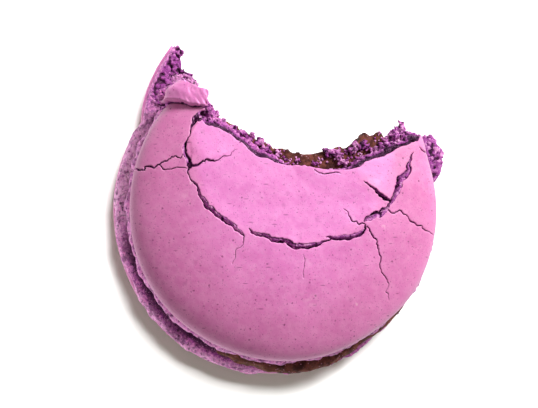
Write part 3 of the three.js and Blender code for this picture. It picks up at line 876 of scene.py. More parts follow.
def lower_crumb_piece(material, size):
    def fine(p, base):
        zone = lower_zone(p, lower_parts(p)[1])
        return lower_fine(p) + 0.5 * step(zone, 0.0, -0.6)
    box = ((-26.2, -26.4, 0.0), (29.6, 27.6, LOWER_TOP + 0.9))
    points, faces = surface_net(lower_rough, fine, *box, size, 1.1)
    points = relax(points, faces, 1, 0.35)
    shell, bite, angle, h = lower_parts(points)
    side = np.degrees(angle) % 360
    # pale: the foot's paler colour, laid on most strongly round its left side as painted light.
    pale = np.clip(1.2 * np.exp(-((side - 170) / 26) ** 2) + 0.35 * step(h, 0.5, 1.5), 0, 1)
    wide = np.hypot(points[:, 0], points[:, 1])
    low_left = step(side, 180, 204) * (1 - step(side, 262, 285))
    # inner darkens the top under the upper shell and the low-left band beside the ganache: painted shade in
    # the gap between the shells.
    inner = np.maximum((1 - step(wide, 21.8, 23.2)) * (1 - pale), (1 - step(wide, 22.9, 24.2)) * low_left)
    # The low-left foot's outer edge made pale: painted highlight.
    pale = np.maximum(pale * (1 - inner), 0.7 * step(wide, 23.8, 24.7) * low_left)
    return crumb_object("lower_crumb", points, faces, material, 31, baked_share(shell, bite, h) * (1 - inner),
                        0.75 * inner, pale)


def lower_torn_piece(material, size):
    """The lower shell's torn face along the bite, and the top of the horn."""
    def rough(p):
        shell, bite, _, _ = lower_parts(p)
        return np.maximum(np.maximum(shell, bite), lower_zone(p, bite))

    def fine(p, base):
        return np.maximum(lower_fine(p), lower_zone(p, lower_parts(p)[1]))
    box = ((-24.6, 3.0, 0.0), (29.0, 26.6, LOWER_TOP + 0.8))
    points, faces = surface_net(rough, fine, *box, size, 0.8)
    points = relax(points, faces, 1, 0.3)
    shell, bite, angle, h = lower_parts(points)
    horn = step(-points[:, 0], 9, 12) * step(points[:, 1], 13, 16)
    baked = baked_share(shell, bite, h) * (0.6 - 0.5 * horn) * (1 - chunk_share(points, angle))
    skin = horn_skin(points)
    return crumb_object("lower_torn", points, faces, material, 31, np.maximum(baked, skin),
                        -0.15 * chunk_share(points, angle) - 0.5 * skin + 0.08 * horn, 0.35 * skin)


def crumb_object(name, points, faces, material, seed, baked=None, depth=0.0, pale=None):
    # relief sets the crumb's colour: dark in its hollows, painted shade, and pale on its ridges, painted
    # highlight. depth above 0 darkens it and below 0 lightens it. The darkening deep in the cracks and in the
    # gap under the upper shell is painted shade; it also darkens the torn crumb just under the upper crust.
    relief = crumb_relief(points, seed) - depth
    _, number = grains(points, 0.4, seed + 60)
    return make_piece(name, points, faces, material, {
        "relief": step(relief, -0.45, 0.4), "grain": number,
        "patch": 0.5 + 0.5 * waves(points, 2.3, seed + 80),
        "baked": np.zeros(len(points)) if baked is None else baked,
        "pale": np.zeros(len(points)) if pale is None else pale})


def filling_piece(material, size):
    section = Section([(0.9 * FILLING_R, 0), (0.965 * FILLING_R, 0.05), (0.99 * FILLING_R, 0.6),
                       (FILLING_R, 1.5), (0.99 * FILLING_R, 2.4), (0.965 * FILLING_R, 2.95),
                       (0.9 * FILLING_R, 3.0)])

    def parts(p):
        h = p[:, 2] - FILLING_LOW
        angle = np.arctan2(p[:, 1], p[:, 0])
        front = np.maximum(0, np.cos(angle - math.radians(BULGE_DEG))) ** 12
        right = np.maximum(0, np.cos(angle - math.radians(BULGE_DEG + 45))) ** 4
        left = np.maximum(0, np.cos(angle - math.radians(200))) ** 1.5
        out = BULGE * (front + 0.62 * right) - 1.5 * left
        out = out + 0.16 * np.sin(9 * angle + 0.5) + 0.12 * np.sin(16 * angle + h)
        r = np.hypot(p[:, 0], p[:, 1]) - out * step(np.hypot(p[:, 0], p[:, 1]), 12, 23)
        return section(r, h), filling_bite(p[:, 0], p[:, 1]), front, h

    def rough(p):
        return np.maximum(*parts(p)[:2])

    def fine(p, base):
        shell, bite, front, h = parts(p)
        field = np.maximum(shell, bite)
        side = step(h, 0.1, 0.5) * (1 - step(h, 2.6, 2.9))
        lumps = 0.2 * waves(p, 1.6, 71) + 0.12 * waves(p, 0.7, 72)
        near, _ = grains(p, 1.1, 73)
        torn = step(bite - shell, -1.0, -0.1)
        top = step(h, 2.3, 2.8)
        field -= side * (lumps * (1 + 0.5 * front) + 0.25 * (0.5 - near) * (0.4 + front))
        field -= torn * (0.28 * waves(p, 0.9, 75) + 0.2 * waves(p, 0.4, 76))
        field -= top * (0.1 * waves(p, 1.1, 77) + 0.1 * waves(p, 0.5, 79))
        return field
    box = ((-24.6, -26.2, FILLING_LOW - 0.3), (25.0, 20.5, FILLING_HIGH + 0.5))
    points, faces = surface_net(rough, fine, *box, size, 1.0)
    points = relax(points, faces, 2, 0.4)
    return make_piece("ganache", points, faces, material, {"patch": 0.5 + 0.5 * waves(points, 1.7, 78)})


# Crusts, as plates of fine triangles cut along their cracks

def hex_points(span, spacing, seed):
    n = int(span / spacing / 0.866) + 1
    i, j = np.meshgrid(np.arange(-n, n + 1), np.arange(-n, n + 1), indexing="ij")
    x = (i + 0.5 * (j % 2)) * spacing
    y = j * spacing * 0.866
    a = hashed(i, j, j * 0, seed) - 0.5
    b = hashed(i, j, j * 0 + 1, seed) - 0.5
    return np.stack([x + 0.35 * spacing * a, y + 0.35 * spacing * b], -1).reshape(-1, 2)


def near_grid(points, span, reach, cell=0.1):
    """A grid of the distance to the nearest of some points, up to a reach."""
    n = int(2 * span / cell) + 1
    grid = np.full((n, n), reach, np.float32)
    w = int(reach / cell) + 1
    di, dj = np.meshgrid(np.arange(-w, w + 1), np.arange(-w, w + 1), indexing="ij")
    base = np.floor((points + span) / cell).astype(int)
    for a, b in zip(di.ravel(), dj.ravel()):
        i, j = base[:, 0] + a, base[:, 1] + b
        ok = (i >= 0) & (i < n) & (j >= 0) & (j < n)
        d = np.hypot(i[ok] * cell - span - points[ok, 0], j[ok] * cell - span - points[ok, 1])
        np.minimum.at(grid, (i[ok], j[ok]), d)

    def read(p):
        i = np.clip(np.rint((p[:, 0] + span) / cell).astype(int), 0, n - 1)
        j = np.clip(np.rint((p[:, 1] + span) / cell).astype(int), 0, n - 1)
        return grid[i, j]
    return read


def crust_piece(name, section, bite, cracks, place, material, spacing):
    """A crust: a closed plate of nearly even thickness, cut by a bite and by cracks. place(x, y, h) puts
    the points of the unbroken crust where they lie."""
    length, radius, height = section
    rim = int(np.argmax(radius))
    total = length[-1]

    def flatten(xy):
        r = np.hypot(xy[:, 0], xy[:, 1])
        s = np.where(r < radius[rim], np.interp(r, radius[:rim + 1], length[:rim + 1]),
                     length[rim] + (r - radius[rim]))
        return xy * (s / np.maximum(r, 1e-6))[:, None]

    lines, polygons = [], []
    edge = jagged(spline(bite, 0.16), 1.1, BITE_JAG, 5)
    cut = flatten(edge[:, :2])
    cut = cut[np.hypot(cut[:, 0], cut[:, 1]) < total + 4]
    lines.append(cut)
    bitten = np.vstack([cut, cut[-1:] * 4, [(0, 200)], cut[:1] * 4])
    for i, (crack, line) in enumerate(cracks.items()):
        side = side_vectors(line)
        fade = np.clip(line[:, 2] / 0.6, 0, 1)
        left, right = (
            line[:, :2] + sign * side * (line[:, 2] / 2 + fade * zigzag(line, 0.36, 0.11, seed + i))[:, None]
            for sign, seed in ((1, 300), (-1, 400)))
        loop = flatten(np.vstack([left, right[::-1]]))
        polygons.append(loop)
        lines.append(np.vstack([loop, loop[:1]]))
    turn = np.linspace(0, 2 * np.pi, int(2 * np.pi * total / 0.45))
    lines.append(total * np.stack([np.cos(turn), np.sin(turn)], 1))

    fixed = np.vstack(lines)
    span = total + 5
    distance = near_grid(np.vstack(lines[:-1]), span, 1.6)
    coarse = hex_points(total, spacing, 1)
    middle = hex_points(total, spacing * 0.55, 2)
    fine = hex_points(total, spacing * 0.3, 3)
    free = np.vstack([
        coarse[distance(coarse) >= 1.3],
        middle[(distance(middle) < 1.3) & (distance(middle) >= 0.5)],
        fine[(distance(fine) < 0.5) & (distance(fine) > 0.1)]])
    free = free[np.hypot(free[:, 0], free[:, 1]) < total - 0.15]
    free = free[~inside(free[:, 0], free[:, 1], bitten) | (distance(free) < 0.3)]
    edges, start = [], 0
    for line in lines:
        edges += [(start + i, start + i + 1) for i in range(len(line) - 1)]
        start += len(line)
    cloud = np.vstack([fixed, free])
    verts, _, tris, *_ = delaunay_2d_cdt([Vector(p) for p in cloud.tolist()], edges, [], 0, 1e-5)
    uv = np.array([tuple(v) for v in verts])
    tris = np.array([t for t in tris if len(t) == 3])
    middle_of = uv[tris].mean(1)
    keep = np.hypot(middle_of[:, 0], middle_of[:, 1]) < total
    keep &= ~inside(middle_of[:, 0], middle_of[:, 1], bitten)
    for loop in polygons:
        low, high = loop.min(0), loop.max(0)
        near = np.flatnonzero(keep & (middle_of > low).all(1) & (middle_of < high).all(1))
        keep[near[inside(middle_of[near, 0], middle_of[near, 1], loop)]] = False
    tris = tris[keep]
    a, b, c = (uv[tris[:, k]] for k in range(3))
    area = (b[:, 0] - a[:, 0]) * (c[:, 1] - a[:, 1]) - (b[:, 1] - a[:, 1]) * (c[:, 0] - a[:, 0])
    tris[area < 0] = tris[area < 0][:, ::-1]
    tris = tris[np.abs(area) > 1e-9]
    tris = main_plates(tris, len(uv), 60)
    used = np.unique(tris)
    number = np.full(len(uv), -1)
    number[used] = np.arange(len(used))
    uv, tris = uv[used], number[tris]

    s = np.hypot(uv[:, 0], uv[:, 1])
    angle = np.arctan2(uv[:, 1], uv[:, 0])
    r, h = np.interp(s, length, radius), np.interp(s, length, height)
    dr = np.interp(s + 0.02, length, radius) - np.interp(s - 0.02, length, radius)
    dh = np.interp(s + 0.02, length, height) - np.interp(s - 0.02, length, height)
    size = np.maximum(np.hypot(dr, dh), 1e-6)
    nr, nh = -dh / size, dr / size
    away = distance(uv)
    depth = CRUST * (1 + 0.25 * waves(stack(uv[:, 0], uv[:, 1], 0.5), 0.8, 9))
    outer = place(r * np.cos(angle), r * np.sin(angle), h)
    ri, hi = r - nr * depth, h - nh * depth
    inner = place(ri * np.cos(angle), ri * np.sin(angle), hi)
    count = len(uv)
    pairs = np.vstack([tris[:, [0, 1]], tris[:, [1, 2]], tris[:, [2, 0]]])
    keys = pairs[:, 0] * count + pairs[:, 1]
    lonely = pairs[~np.isin(keys, pairs[:, 1] * count + pairs[:, 0])]
    walls = np.stack([lonely[:, 1], lonely[:, 0], lonely[:, 0] + count, lonely[:, 1] + count], 1)
    faces = tris.tolist() + (tris[:, ::-1] + count).tolist() + walls.tolist()
    points = np.vstack([outer, inner])
    # The outer and hem attributes carry painted shade towards and at the rim, lessened on the flap; plate
    # carries painted light on the sunken middle.
    flap = flap_distance(r * np.cos(angle), r * np.sin(angle)) > 0
    return make_piece(name, points, faces, material, {
        "edge": np.tile(1 - np.clip(away / 0.9, 0, 1), 2),
        "inside": np.repeat([0.0, 1.0], count),
        "outer": np.tile(step(s, 5, 20) * (1 - 0.8 * flap), 2),
        "hem": np.tile(step(s, length[rim] - 2.6, length[rim] - 0.2) * (1 - flap), 2),
        "plate": np.tile(step(sunk(outer[:, 0], outer[:, 1]), 0.01, 0.12), 2)})


def main_plates(tris, n, least):
    """Triangles of the plates that have at least `least` of them."""
    label = joined(n, np.vstack([tris[:, [0, 1]], tris[:, [1, 2]]]))
    return tris[np.bincount(label[tris[:, 0]], minlength=n)[label[tris[:, 0]]] >= least]


def place_upper(x, y, h):
    r, angle = np.hypot(x, y), np.arctan2(y, x)
    edge = step(r, UPPER_EDGE, UPPER_R)
    lumps = 0.05 * waves(stack(x, y, 0), 4.0, 90) + 0.02 * waves(stack(x, y, 0), 1.4, 91)
    h = h - sunk(x, y) + lift(x, y) + lumps * (1 - 0.5 * edge)
    flap = flap_share(x, y, False)
    out = (r + edge * upper_push(angle)) / np.maximum(r, 1e-6)
    past = flap_distance(x, y)
    wrinkle = 0.1 * waves(stack(x, y, 2), 1.1, 92) + 0.09 * waves(stack(x, y, 3), 0.45, 93)
    grooved = step(x, -15.5, -14.0) * (1 - step(past, 1.2, 2.4))
    wrinkle = wrinkle + 0.13 * grooved * waves(stack(x * 2.4 + 0.5 * y, y * 0.5, 4), 0.8, 94)
    h = h + step(past, -0.05, 0.3) * (0.5 + 1.0 * step(r, 18.0, 23.0) + wrinkle)
    pushed = step(past, -0.05, 0.1) * flap_splay(x, y)
    return np.stack([x * out - FLAP_LEFT * flap - pushed, y * out + FLAP_UP * flap, UPPER_BASE + h], 1)


def place_lower(x, y, h):
    r, angle = np.hypot(x, y), np.arctan2(y, x)
    push = lower_push(angle) + out_of_round(angle + 2)
    outer = LOWER_EDGE + (r - LOWER_EDGE) * (LOWER_R + push - LOWER_EDGE) / (LOWER_R - LOWER_EDGE)
    out = np.where(r > LOWER_EDGE, outer, r) / np.maximum(r, 1e-6)
    return np.stack([x * out + LOWER_X, y * out + LOWER_Y, np.maximum(0.0, LOWER_TOP - h)], 1)


def upper_crust_piece(material):
    x, y = np.array(UPPER_BITE, float).T
    share = flap_share(x, y, True)
    return crust_piece(
        "upper_crust", crust_section(UPPER_R, UPPER_FOOT_H, UPPER_DOME),
        np.stack([x + FLAP_LEFT * share, y - FLAP_UP * share], 1), crack_lines, place_upper, material, 0.42)


def lower_crust_piece(material):
    bite = [(x - LOWER_X, y - LOWER_Y) for x, y in LOWER_BITE if x < 16.5]
    bite += [(18.3, 11.6), (19.8, 10.4), (20.8, 8.4), (21.7, 5.4), (22.5, 3.8), (26, 2.8), (34, 2)]
    return crust_piece(
        "lower_crust", crust_section(LOWER_R, LOWER_FOOT_H, LOWER_DOME), bite, {}, place_lower, material, 0.6)


# Crumbs that cling where the teeth went through: plan place, height, size and how many

CLUSTERS = [
    ((6.9, 9.0), 10.7, 0.4, 12), ((7.8, 8.7), 10.8, 0.5, 16), ((8.7, 8.5), 10.7, 0.45, 14),
    ((9.4, 7.3), 10.7, 0.42, 14), ((10.1, 6.9), 10.7, 0.4, 12), ((11.1, 9.2), 10.7, 0.45, 14),
    ((12.0, 9.7), 10.8, 0.5, 16), ((12.9, 10.0), 10.8, 0.5, 16), ((13.7, 9.6), 10.8, 0.45, 14),
    ((14.8, 9.2), 10.8, 0.5, 14), ((16.1, 9.9), 10.8, 0.55, 16), ((17.0, 10.7), 10.8, 0.55, 16),
    ((17.9, 11.4), 10.8, 0.55, 16), ((18.5, 12.2), 10.6, 0.55, 18), ((18.9, 13.0), 10.4, 0.45, 16),
    ((19.1, 13.6), 10.3, 0.34, 12), ((19.2, 11.8), 10.5, 0.6, 18), ((20.0, 11.6), 10.3, 0.55, 18),
    ((21.0, 11.1), 9.9, 0.45, 14), ((-13.6, 19.3), 8.4, 0.45, 16), ((-12.9, 18.8), 8.6, 0.4, 12),
    ((-14.4, 20.1), 8.0, 0.45, 14), ((-15.5, 19.6), 9.2, 0.45, 14), ((-16.4, 19.2), 9.3, 0.45, 14),
    ((-14.6, 18.9), 9.8, 0.4, 12), ((-0.6, 8.3), 10.7, 0.4, 12), ((-1.9, 8.9), 10.8, 0.45, 14),
    ((-3.2, 9.8), 10.8, 0.5, 14), ((-4.6, 10.6), 10.8, 0.5, 14), ((-6.0, 11.2), 10.8, 0.5, 14),
    ((-7.4, 11.8), 10.8, 0.5, 14), ((-8.8, 12.7), 10.8, 0.5, 14), ((-10.0, 13.9), 10.9, 0.45, 14),
    ((-10.9, 15.2), 10.9, 0.4, 12), ((2.6, 7.4), 10.5, 0.3, 9), ((5.4, 7.2), 10.5, 0.36, 10),
]


def cluster_centres(seed):
    """Balls of many sizes heaped round each cluster's place."""
    rng = np.random.default_rng(seed)
    balls = []
    for (x, y), z, size, count in CLUSTERS:
        offset = rng.normal(0, 1, (count, 3)) * (1.0, 0.85, 0.5) * size * 0.85
        offset[:, 2] = np.abs(offset[:, 2])
        radius = size * rng.uniform(0.5, 0.95, count) * np.exp(-0.16 * (offset ** 2).sum(1) / size ** 2)
        balls += [(x + a, y + b, z + c, r) for (a, b, c), r in zip(offset, radius)]
    return np.array(balls)


def crumbs_piece(material, size):
    """Loose crumbs caught on the ganache and at the horns, each cluster pressed into what carries it."""
    balls = cluster_centres(4)

    def rough(p):
        best = np.full(len(p), 9.0, np.float32)
        for x, y, z, radius in balls:
            near = np.flatnonzero((np.abs(p[:, 0] - x) < 1.3) & (np.abs(p[:, 1] - y) < 1.3)
                                  & (np.abs(p[:, 2] - z) < 1.3))
            d = np.sqrt(((p[near] - (x, y, z)) ** 2).sum(1)) - radius
            best[near] = np.minimum(best[near], d)
        return best

    def fine(p, base):
        near, _ = grains(p, 0.42, 101)
        return base - 0.12 * waves(p, 0.5, 102) - 0.3 * (0.45 - near)
    box = ((-16.5, 5.0, 6.4), (22.5, 23.0, 13.2))
    points, faces = surface_net(rough, fine, *box, size, 0.7, 160)
    points = relax(points, faces, 1, 0.25)
    pink = np.maximum(step(-points[:, 0], 11.5, 13) * 0.8, 0.85 * step(waves(points, 0.9, 104), 0.12, 0.45))
    return crumb_object("crumbs", points, faces, material, 101, pink, -0.14, 0.6 * pink)


# Nodes

def feed(tree, value, socket):
    """Links an output to a socket, or sets the socket's own value."""
    if isinstance(value, bpy.types.NodeSocket):
        tree.links.new(value, socket)
    elif value is not None:
        socket.default_value = value


def add_node(tree, kind, settings=None, **inputs):
    """A node with its settings and inputs; i and a number stands for an input's place."""
    made = tree.nodes.new(kind)
    for key, value in (settings or {}).items():
        setattr(made, key, value)
    for key, value in inputs.items():
        name = key.replace("_", " ")
        feed(tree, value, made.inputs[name] if name in made.inputs else made.inputs[int(key[1:])])
    return made


# Small crumbs strewn over the bitten ganache by a node tree

FULL_TURN = (6.28, 6.28, 6.28)


def strewing_tree(sizes, material):
    """Node tree that strews lumpy grains over a face; returns it and its inputs' identifiers by name."""
    tree = bpy.data.node_groups.new("strewn crumbs", "GeometryNodeTree")
    face = tree.interface
    face.new_socket(name="Face", in_out="INPUT", socket_type="NodeSocketGeometry")
    ids = {}
    for name, value in sizes.items():
        kind = "NodeSocketInt" if isinstance(value, int) else "NodeSocketFloat"
        ids[name] = face.new_socket(name=name, in_out="INPUT", socket_type=kind).identifier
    face.new_socket(name="Crumbs", in_out="OUTPUT", socket_type="NodeSocketGeometry")

    def node(kind, settings=None, **inputs):
        return add_node(tree, kind, settings, **inputs)
    given = node("NodeGroupInput").outputs
    seed = given["Seed"]
    places = node("GeometryNodeDistributePointsOnFaces", Mesh=given["Face"],
                  Density=given["Per square metre"], Seed=seed)
    grain = node("GeometryNodeMeshIcoSphere", Radius=given["Grain radius"], Subdivisions=2)
    size = node("FunctionNodeRandomValue", {"data_type": "FLOAT"}, i2=given["Smallest share"],
                i3=given["Largest share"], Seed=seed)
    turn = node("FunctionNodeRandomValue", {"data_type": "FLOAT_VECTOR"}, i0=(0, 0, 0), i1=FULL_TURN,
                Seed=seed)
    spread = node("GeometryNodeInstanceOnPoints", Points=places.outputs["Points"],
                  Instance=grain.outputs["Mesh"], Rotation=turn.outputs[0], Scale=size.outputs[1])
    whole = node("GeometryNodeRealizeInstances", Geometry=spread.outputs[0])
    rough = node("ShaderNodeTexNoise", Scale=given["Lumps per metre"], Detail=1.0)
    centred = node("ShaderNodeVectorMath", {"operation": "SUBTRACT"}, i0=rough.outputs[1], i1=(0.5, 0.5, 0.5))
    push = node("ShaderNodeVectorMath", {"operation": "SCALE"}, i0=centred.outputs[0],
                Scale=given["Lump height"])
    lumpy = node("GeometryNodeSetPosition", Geometry=whole.outputs[0], Offset=push.outputs[0])
    coloured = node("GeometryNodeSetMaterial", Geometry=lumpy.outputs[0], Material=material)
    node("NodeGroupOutput", i0=coloured.outputs[0])
    return tree, ids


def strewn_crumbs_piece(carrier, material):
    """Crumbs strewn over the carrier's bitten side where it faces up."""
    mesh = carrier.data
    count = len(mesh.polygons)
    middle, normal = np.empty(count * 3), np.empty(count * 3)
    mesh.polygons.foreach_get("center", middle)
    mesh.polygons.foreach_get("normal", normal)
    middle, normal = middle.reshape(-1, 3) / MM, normal.reshape(-1, 3)
    bitten = filling_bite(middle[:, 0], middle[:, 1]) > -2.6
    patchy = waves(middle, 1.9, 140) > 0.35 * step(4 - np.abs(middle[:, 0] - 3.5), 0, 2) - 0.1
    chosen = np.flatnonzero(bitten & patchy & (normal[:, 2] > 0.15) & (middle[:, 2] > FILLING_LOW + 0.8)
                            & (middle[:, 0] > -7) & (middle[:, 0] < 18))
    patch = bpy.data.meshes.new("bitten ganache")
    corners = np.array([mesh.polygons[i].vertices[:] for i in chosen.tolist()])
    used, faces = np.unique(corners, return_inverse=True)
    places = np.array([mesh.vertices[i].co for i in used.tolist()])
    patch.from_pydata(places.tolist(), [], faces.reshape(corners.shape).tolist())
    sizes = {"Per square metre": 2.4e6, "Grain radius": 0.18 * MM, "Lumps per metre": 4200.0,
             "Lump height": 0.3 * MM, "Smallest share": 0.45, "Largest share": 1.25, "Seed": 5}
    tree, ids = strewing_tree(sizes, material)
    strewn = add_object("strewing", patch)
    modifier = strewn.modifiers.new("strewn crumbs", "NODES")
    modifier.node_group = tree
    for name, value in sizes.items():
        modifier[ids[name]] = value
    made = bpy.data.meshes.new_from_object(strewn.evaluated_get(bpy.context.evaluated_depsgraph_get()))
    points = np.array([v.co for v in made.vertices]) / MM
    faces = np.array([p.vertices[:] for p in made.polygons])
    for block, owner in ((strewn, bpy.data.objects), (patch, bpy.data.meshes), (made, bpy.data.meshes)):
        owner.remove(block)
    bpy.data.node_groups.remove(tree)
    pale = step(waves(points, 0.7, 141), -0.3, 0.3)
    return crumb_object("strewn_crumbs", points, faces, material, 101, 0.9 * pale, -0.2, 0.8 * pale)


# Materials

class Shader:
    """Builds a material's nodes: every method returns an output socket."""

    def __init__(self, name):
        self.material = bpy.data.materials.new(name)
        self.material.use_nodes = True
        self.tree = self.material.node_tree
        self.tree.nodes.clear()
        self.output = self.tree.nodes.new("ShaderNodeOutputMaterial")
        self.base = self.tree.nodes.new("ShaderNodeBsdfPrincipled")
        self.tree.links.new(self.base.outputs[0], self.output.inputs[0])
        self.place = self.vector("SCALE", self.node("ShaderNodeTexCoord", "Object"), Scale=1 / MM)

    def node(self, kind, outlet=0, settings=None, **inputs):
        return add_node(self.tree, kind, settings, **inputs).outputs[outlet]

    def vector(self, operation, first, **inputs):
        return self.node("ShaderNodeVectorMath", 0, {"operation": operation}, i0=first, **inputs)

    def attribute(self, name):
        return self.node("ShaderNodeAttribute", "Fac", {"attribute_name": name})

    def noise(self, scale, detail=3.0, roughness=0.55):
        return self.node("ShaderNodeTexNoise", 0, None, Vector=self.place, Scale=scale, Detail=detail,
                         Roughness=roughness)

    def cells(self, scale, outlet="Distance", place=None):
        return self.node("ShaderNodeTexVoronoi", outlet, None, Vector=place or self.place, Scale=scale)

    def warped(self, scale, amount):
        """The object's place, pushed about by noise."""
        noise = self.node("ShaderNodeTexNoise", 1, None, Vector=self.place, Scale=scale, Detail=2.0)
        return self.vector("ADD", self.place, i1=self.vector("SCALE", noise, Scale=amount))

    def chosen(self, cells, share, channel=0):
        """1 in the cells whose random number passes a share, and 0 in the others."""
        number = self.node("ShaderNodeSeparateColor", channel, None, Color=cells)
        return self.remap(number, share, share + 0.02, smooth=False)

    def math(self, operation, a, b):
        return self.node("ShaderNodeMath", 0, {"operation": operation}, i0=a, i1=b)

    def remap(self, value, low, high, to_low=0.0, to_high=1.0, smooth=True):
        kind = "SMOOTHSTEP" if smooth else "LINEAR"
        return self.node("ShaderNodeMapRange", 0, {"interpolation_type": kind}, i0=value, i1=low, i2=high,
                         i3=to_low, i4=to_high)

    def mix(self, factor, a, b, blend="MIX"):
        node = add_node(self.tree, "ShaderNodeMix", {"data_type": "RGBA", "blend_type": blend}, Factor=factor)
        for socket, value in zip([i for i in node.inputs if i.type == "RGBA"], (a, b)):
            feed(self.tree, (*value, 1) if isinstance(value, tuple) else value, socket)
        return next(o for o in node.outputs if o.type == "RGBA")

    def bump(self, height, distance, strength=1.0, normal=None):
        return self.node("ShaderNodeBump", 0, None, Strength=strength, Distance=distance * MM, Height=height,
                         Normal=normal)

    def surface(self, **inputs):
        sockets = {socket.name.lower(): socket for socket in self.base.inputs}
        for key, value in inputs.items():
            plain_colour = isinstance(value, tuple) and "color" in key
            feed(self.tree, (*value, 1) if plain_colour else value, sockets[key.replace("_", " ")])
        return self.material


def linear(red, green, blue):
    """A screen colour from 0 to 255 as a shader colour."""
    return tuple((c / 255 / 12.92) if c <= 10 else ((c / 255 + 0.055) / 1.055) ** 2.4
                 for c in (red, green, blue))


CRUST_PINK = linear(220, 126, 191)
CRUST_DEEP = linear(210, 114, 180)
CRUST_PALE = linear(228, 149, 202)
SPECK = linear(112, 44, 92)
CRUMB_PURPLE = linear(152, 62, 146)
# CRUMB_DARK is the crumb's dark mottling and also painted shade in its hollows, pores and deep cracks;
# CRUMB_PALE is its pale flecks and also painted highlight on its ridges.
CRUMB_DARK = linear(60, 10, 55)
CRUMB_PALE = linear(236, 166, 216)
# FOOT_PALE is the foot's pale colour, also laid on as painted light on the lower foot's left side and as
# painted highlight along its low-left edge.
FOOT_PALE = linear(242, 184, 224)
GANACHE = linear(120, 68, 57)
GANACHE_DARK = linear(62, 31, 28)


def crust_material(name):
    m = Shader(name)
    wide = m.noise(0.16, 4, 0.6)
    middle = m.noise(0.9, 4, 0.6)
    small = m.noise(5.5, 3, 0.6)
    colour = m.mix(m.remap(wide, 0.35, 0.68), CRUST_DEEP, CRUST_PINK)
    colour = m.mix(m.remap(middle, 0.36, 0.7, 0.0, 0.4), colour, CRUST_PALE)
    colour = m.mix(m.remap(small, 0.52, 0.75, 0.0, 0.45), colour, CRUST_DEEP)
    # Pinprick specks of ground almond and dye, on four scales, and a few dashes
    ragged = m.warped(4.0, 0.3)
    for scale, size, share, depth in (
            (1.5, 0.2, 0.4, 0.62), (3.3, 0.3, 0.35, 0.42), (0.62, 0.12, 0.3, 0.75), (0.4, 0.2, 0.5, 0.16)):
        near = m.cells(scale, place=ragged)
        chosen = m.chosen(m.cells(scale, "Color", place=ragged), share)
        dot = m.math("MULTIPLY", m.remap(near, size, size * 0.4), chosen)
        colour = m.mix(m.math("MULTIPLY", dot, depth), colour, SPECK)
    stretched = m.node("ShaderNodeMapping", 0, None, Vector=m.place, Rotation=(0.3, 0.2, 0.7),
                       Scale=(0.35, 1.6, 1.0))
    dash = m.remap(m.cells(0.8, place=stretched), 0.16, 0.06)
    few = m.chosen(m.cells(0.8, "Color", place=stretched), 0.6, 1)
    colour = m.mix(m.math("MULTIPLY", m.math("MULTIPLY", dash, few), 0.55), colour, SPECK)
    # A few paler blooms of sugar
    flat = m.node("ShaderNodeMapping", 0, None, Vector=m.place, Scale=(1, 1, 0.2))
    for scale, size, strength in ((0.16, 0.075, 0.85), (0.11, 0.16, 0.25)):
        bloom = m.math("MULTIPLY", m.remap(m.cells(scale, place=flat), size, size * 0.2),
                       m.remap(m.noise(1.3, 3), 0.42, 0.6))
        colour = m.mix(m.math("MULTIPLY", bloom, strength), colour, linear(236, 184, 214))
    colour = m.mix(m.math("MULTIPLY", m.attribute("edge"), 0.18), colour, CRUST_PALE)
    # Painted light and shade: the dome darker and warmer towards its rim (outer) and greyer and darker still
    # in a band at the rim (hem), both less on the flap; the sunken middle plate a little lighter and bluer
    # (plate).
    painted_light_and_shade = m.mix(m.attribute("outer"), (1.0, 1.0, 1.0), (0.88, 0.89, 0.8))
    painted_light_and_shade = m.mix(m.attribute("plate"), painted_light_and_shade, (1.0, 1.02, 1.03))
    painted_light_and_shade = m.mix(m.math("MULTIPLY", m.attribute("hem"), 0.5), painted_light_and_shade, (0.62, 0.78, 0.66))
    colour = m.mix(1.0, colour, painted_light_and_shade, "MULTIPLY")
    torn = m.remap(m.attribute("inside"), 0.08, 0.6)
    colour = m.mix(torn, colour, CRUMB_PURPLE)
    height = m.math("ADD", m.math("MULTIPLY", m.noise(1.4, 3, 0.5), 0.7), m.math("MULTIPLY", small, 0.22))
    fine = m.bump(height, 0.09, 0.55)
    pits = m.remap(m.cells(2.6), 0.16, 0.04)
    fine = m.bump(m.math("MULTIPLY", pits, -1.0), 0.05, 0.6, fine)
    return m.surface(
        base_color=colour, roughness=m.remap(middle, 0.3, 0.7, 0.42, 0.56), normal=fine,
        specular_ior_level=0.42, subsurface_weight=0.12, subsurface_radius=(1.0, 0.45, 0.7),
        subsurface_scale=0.0006)


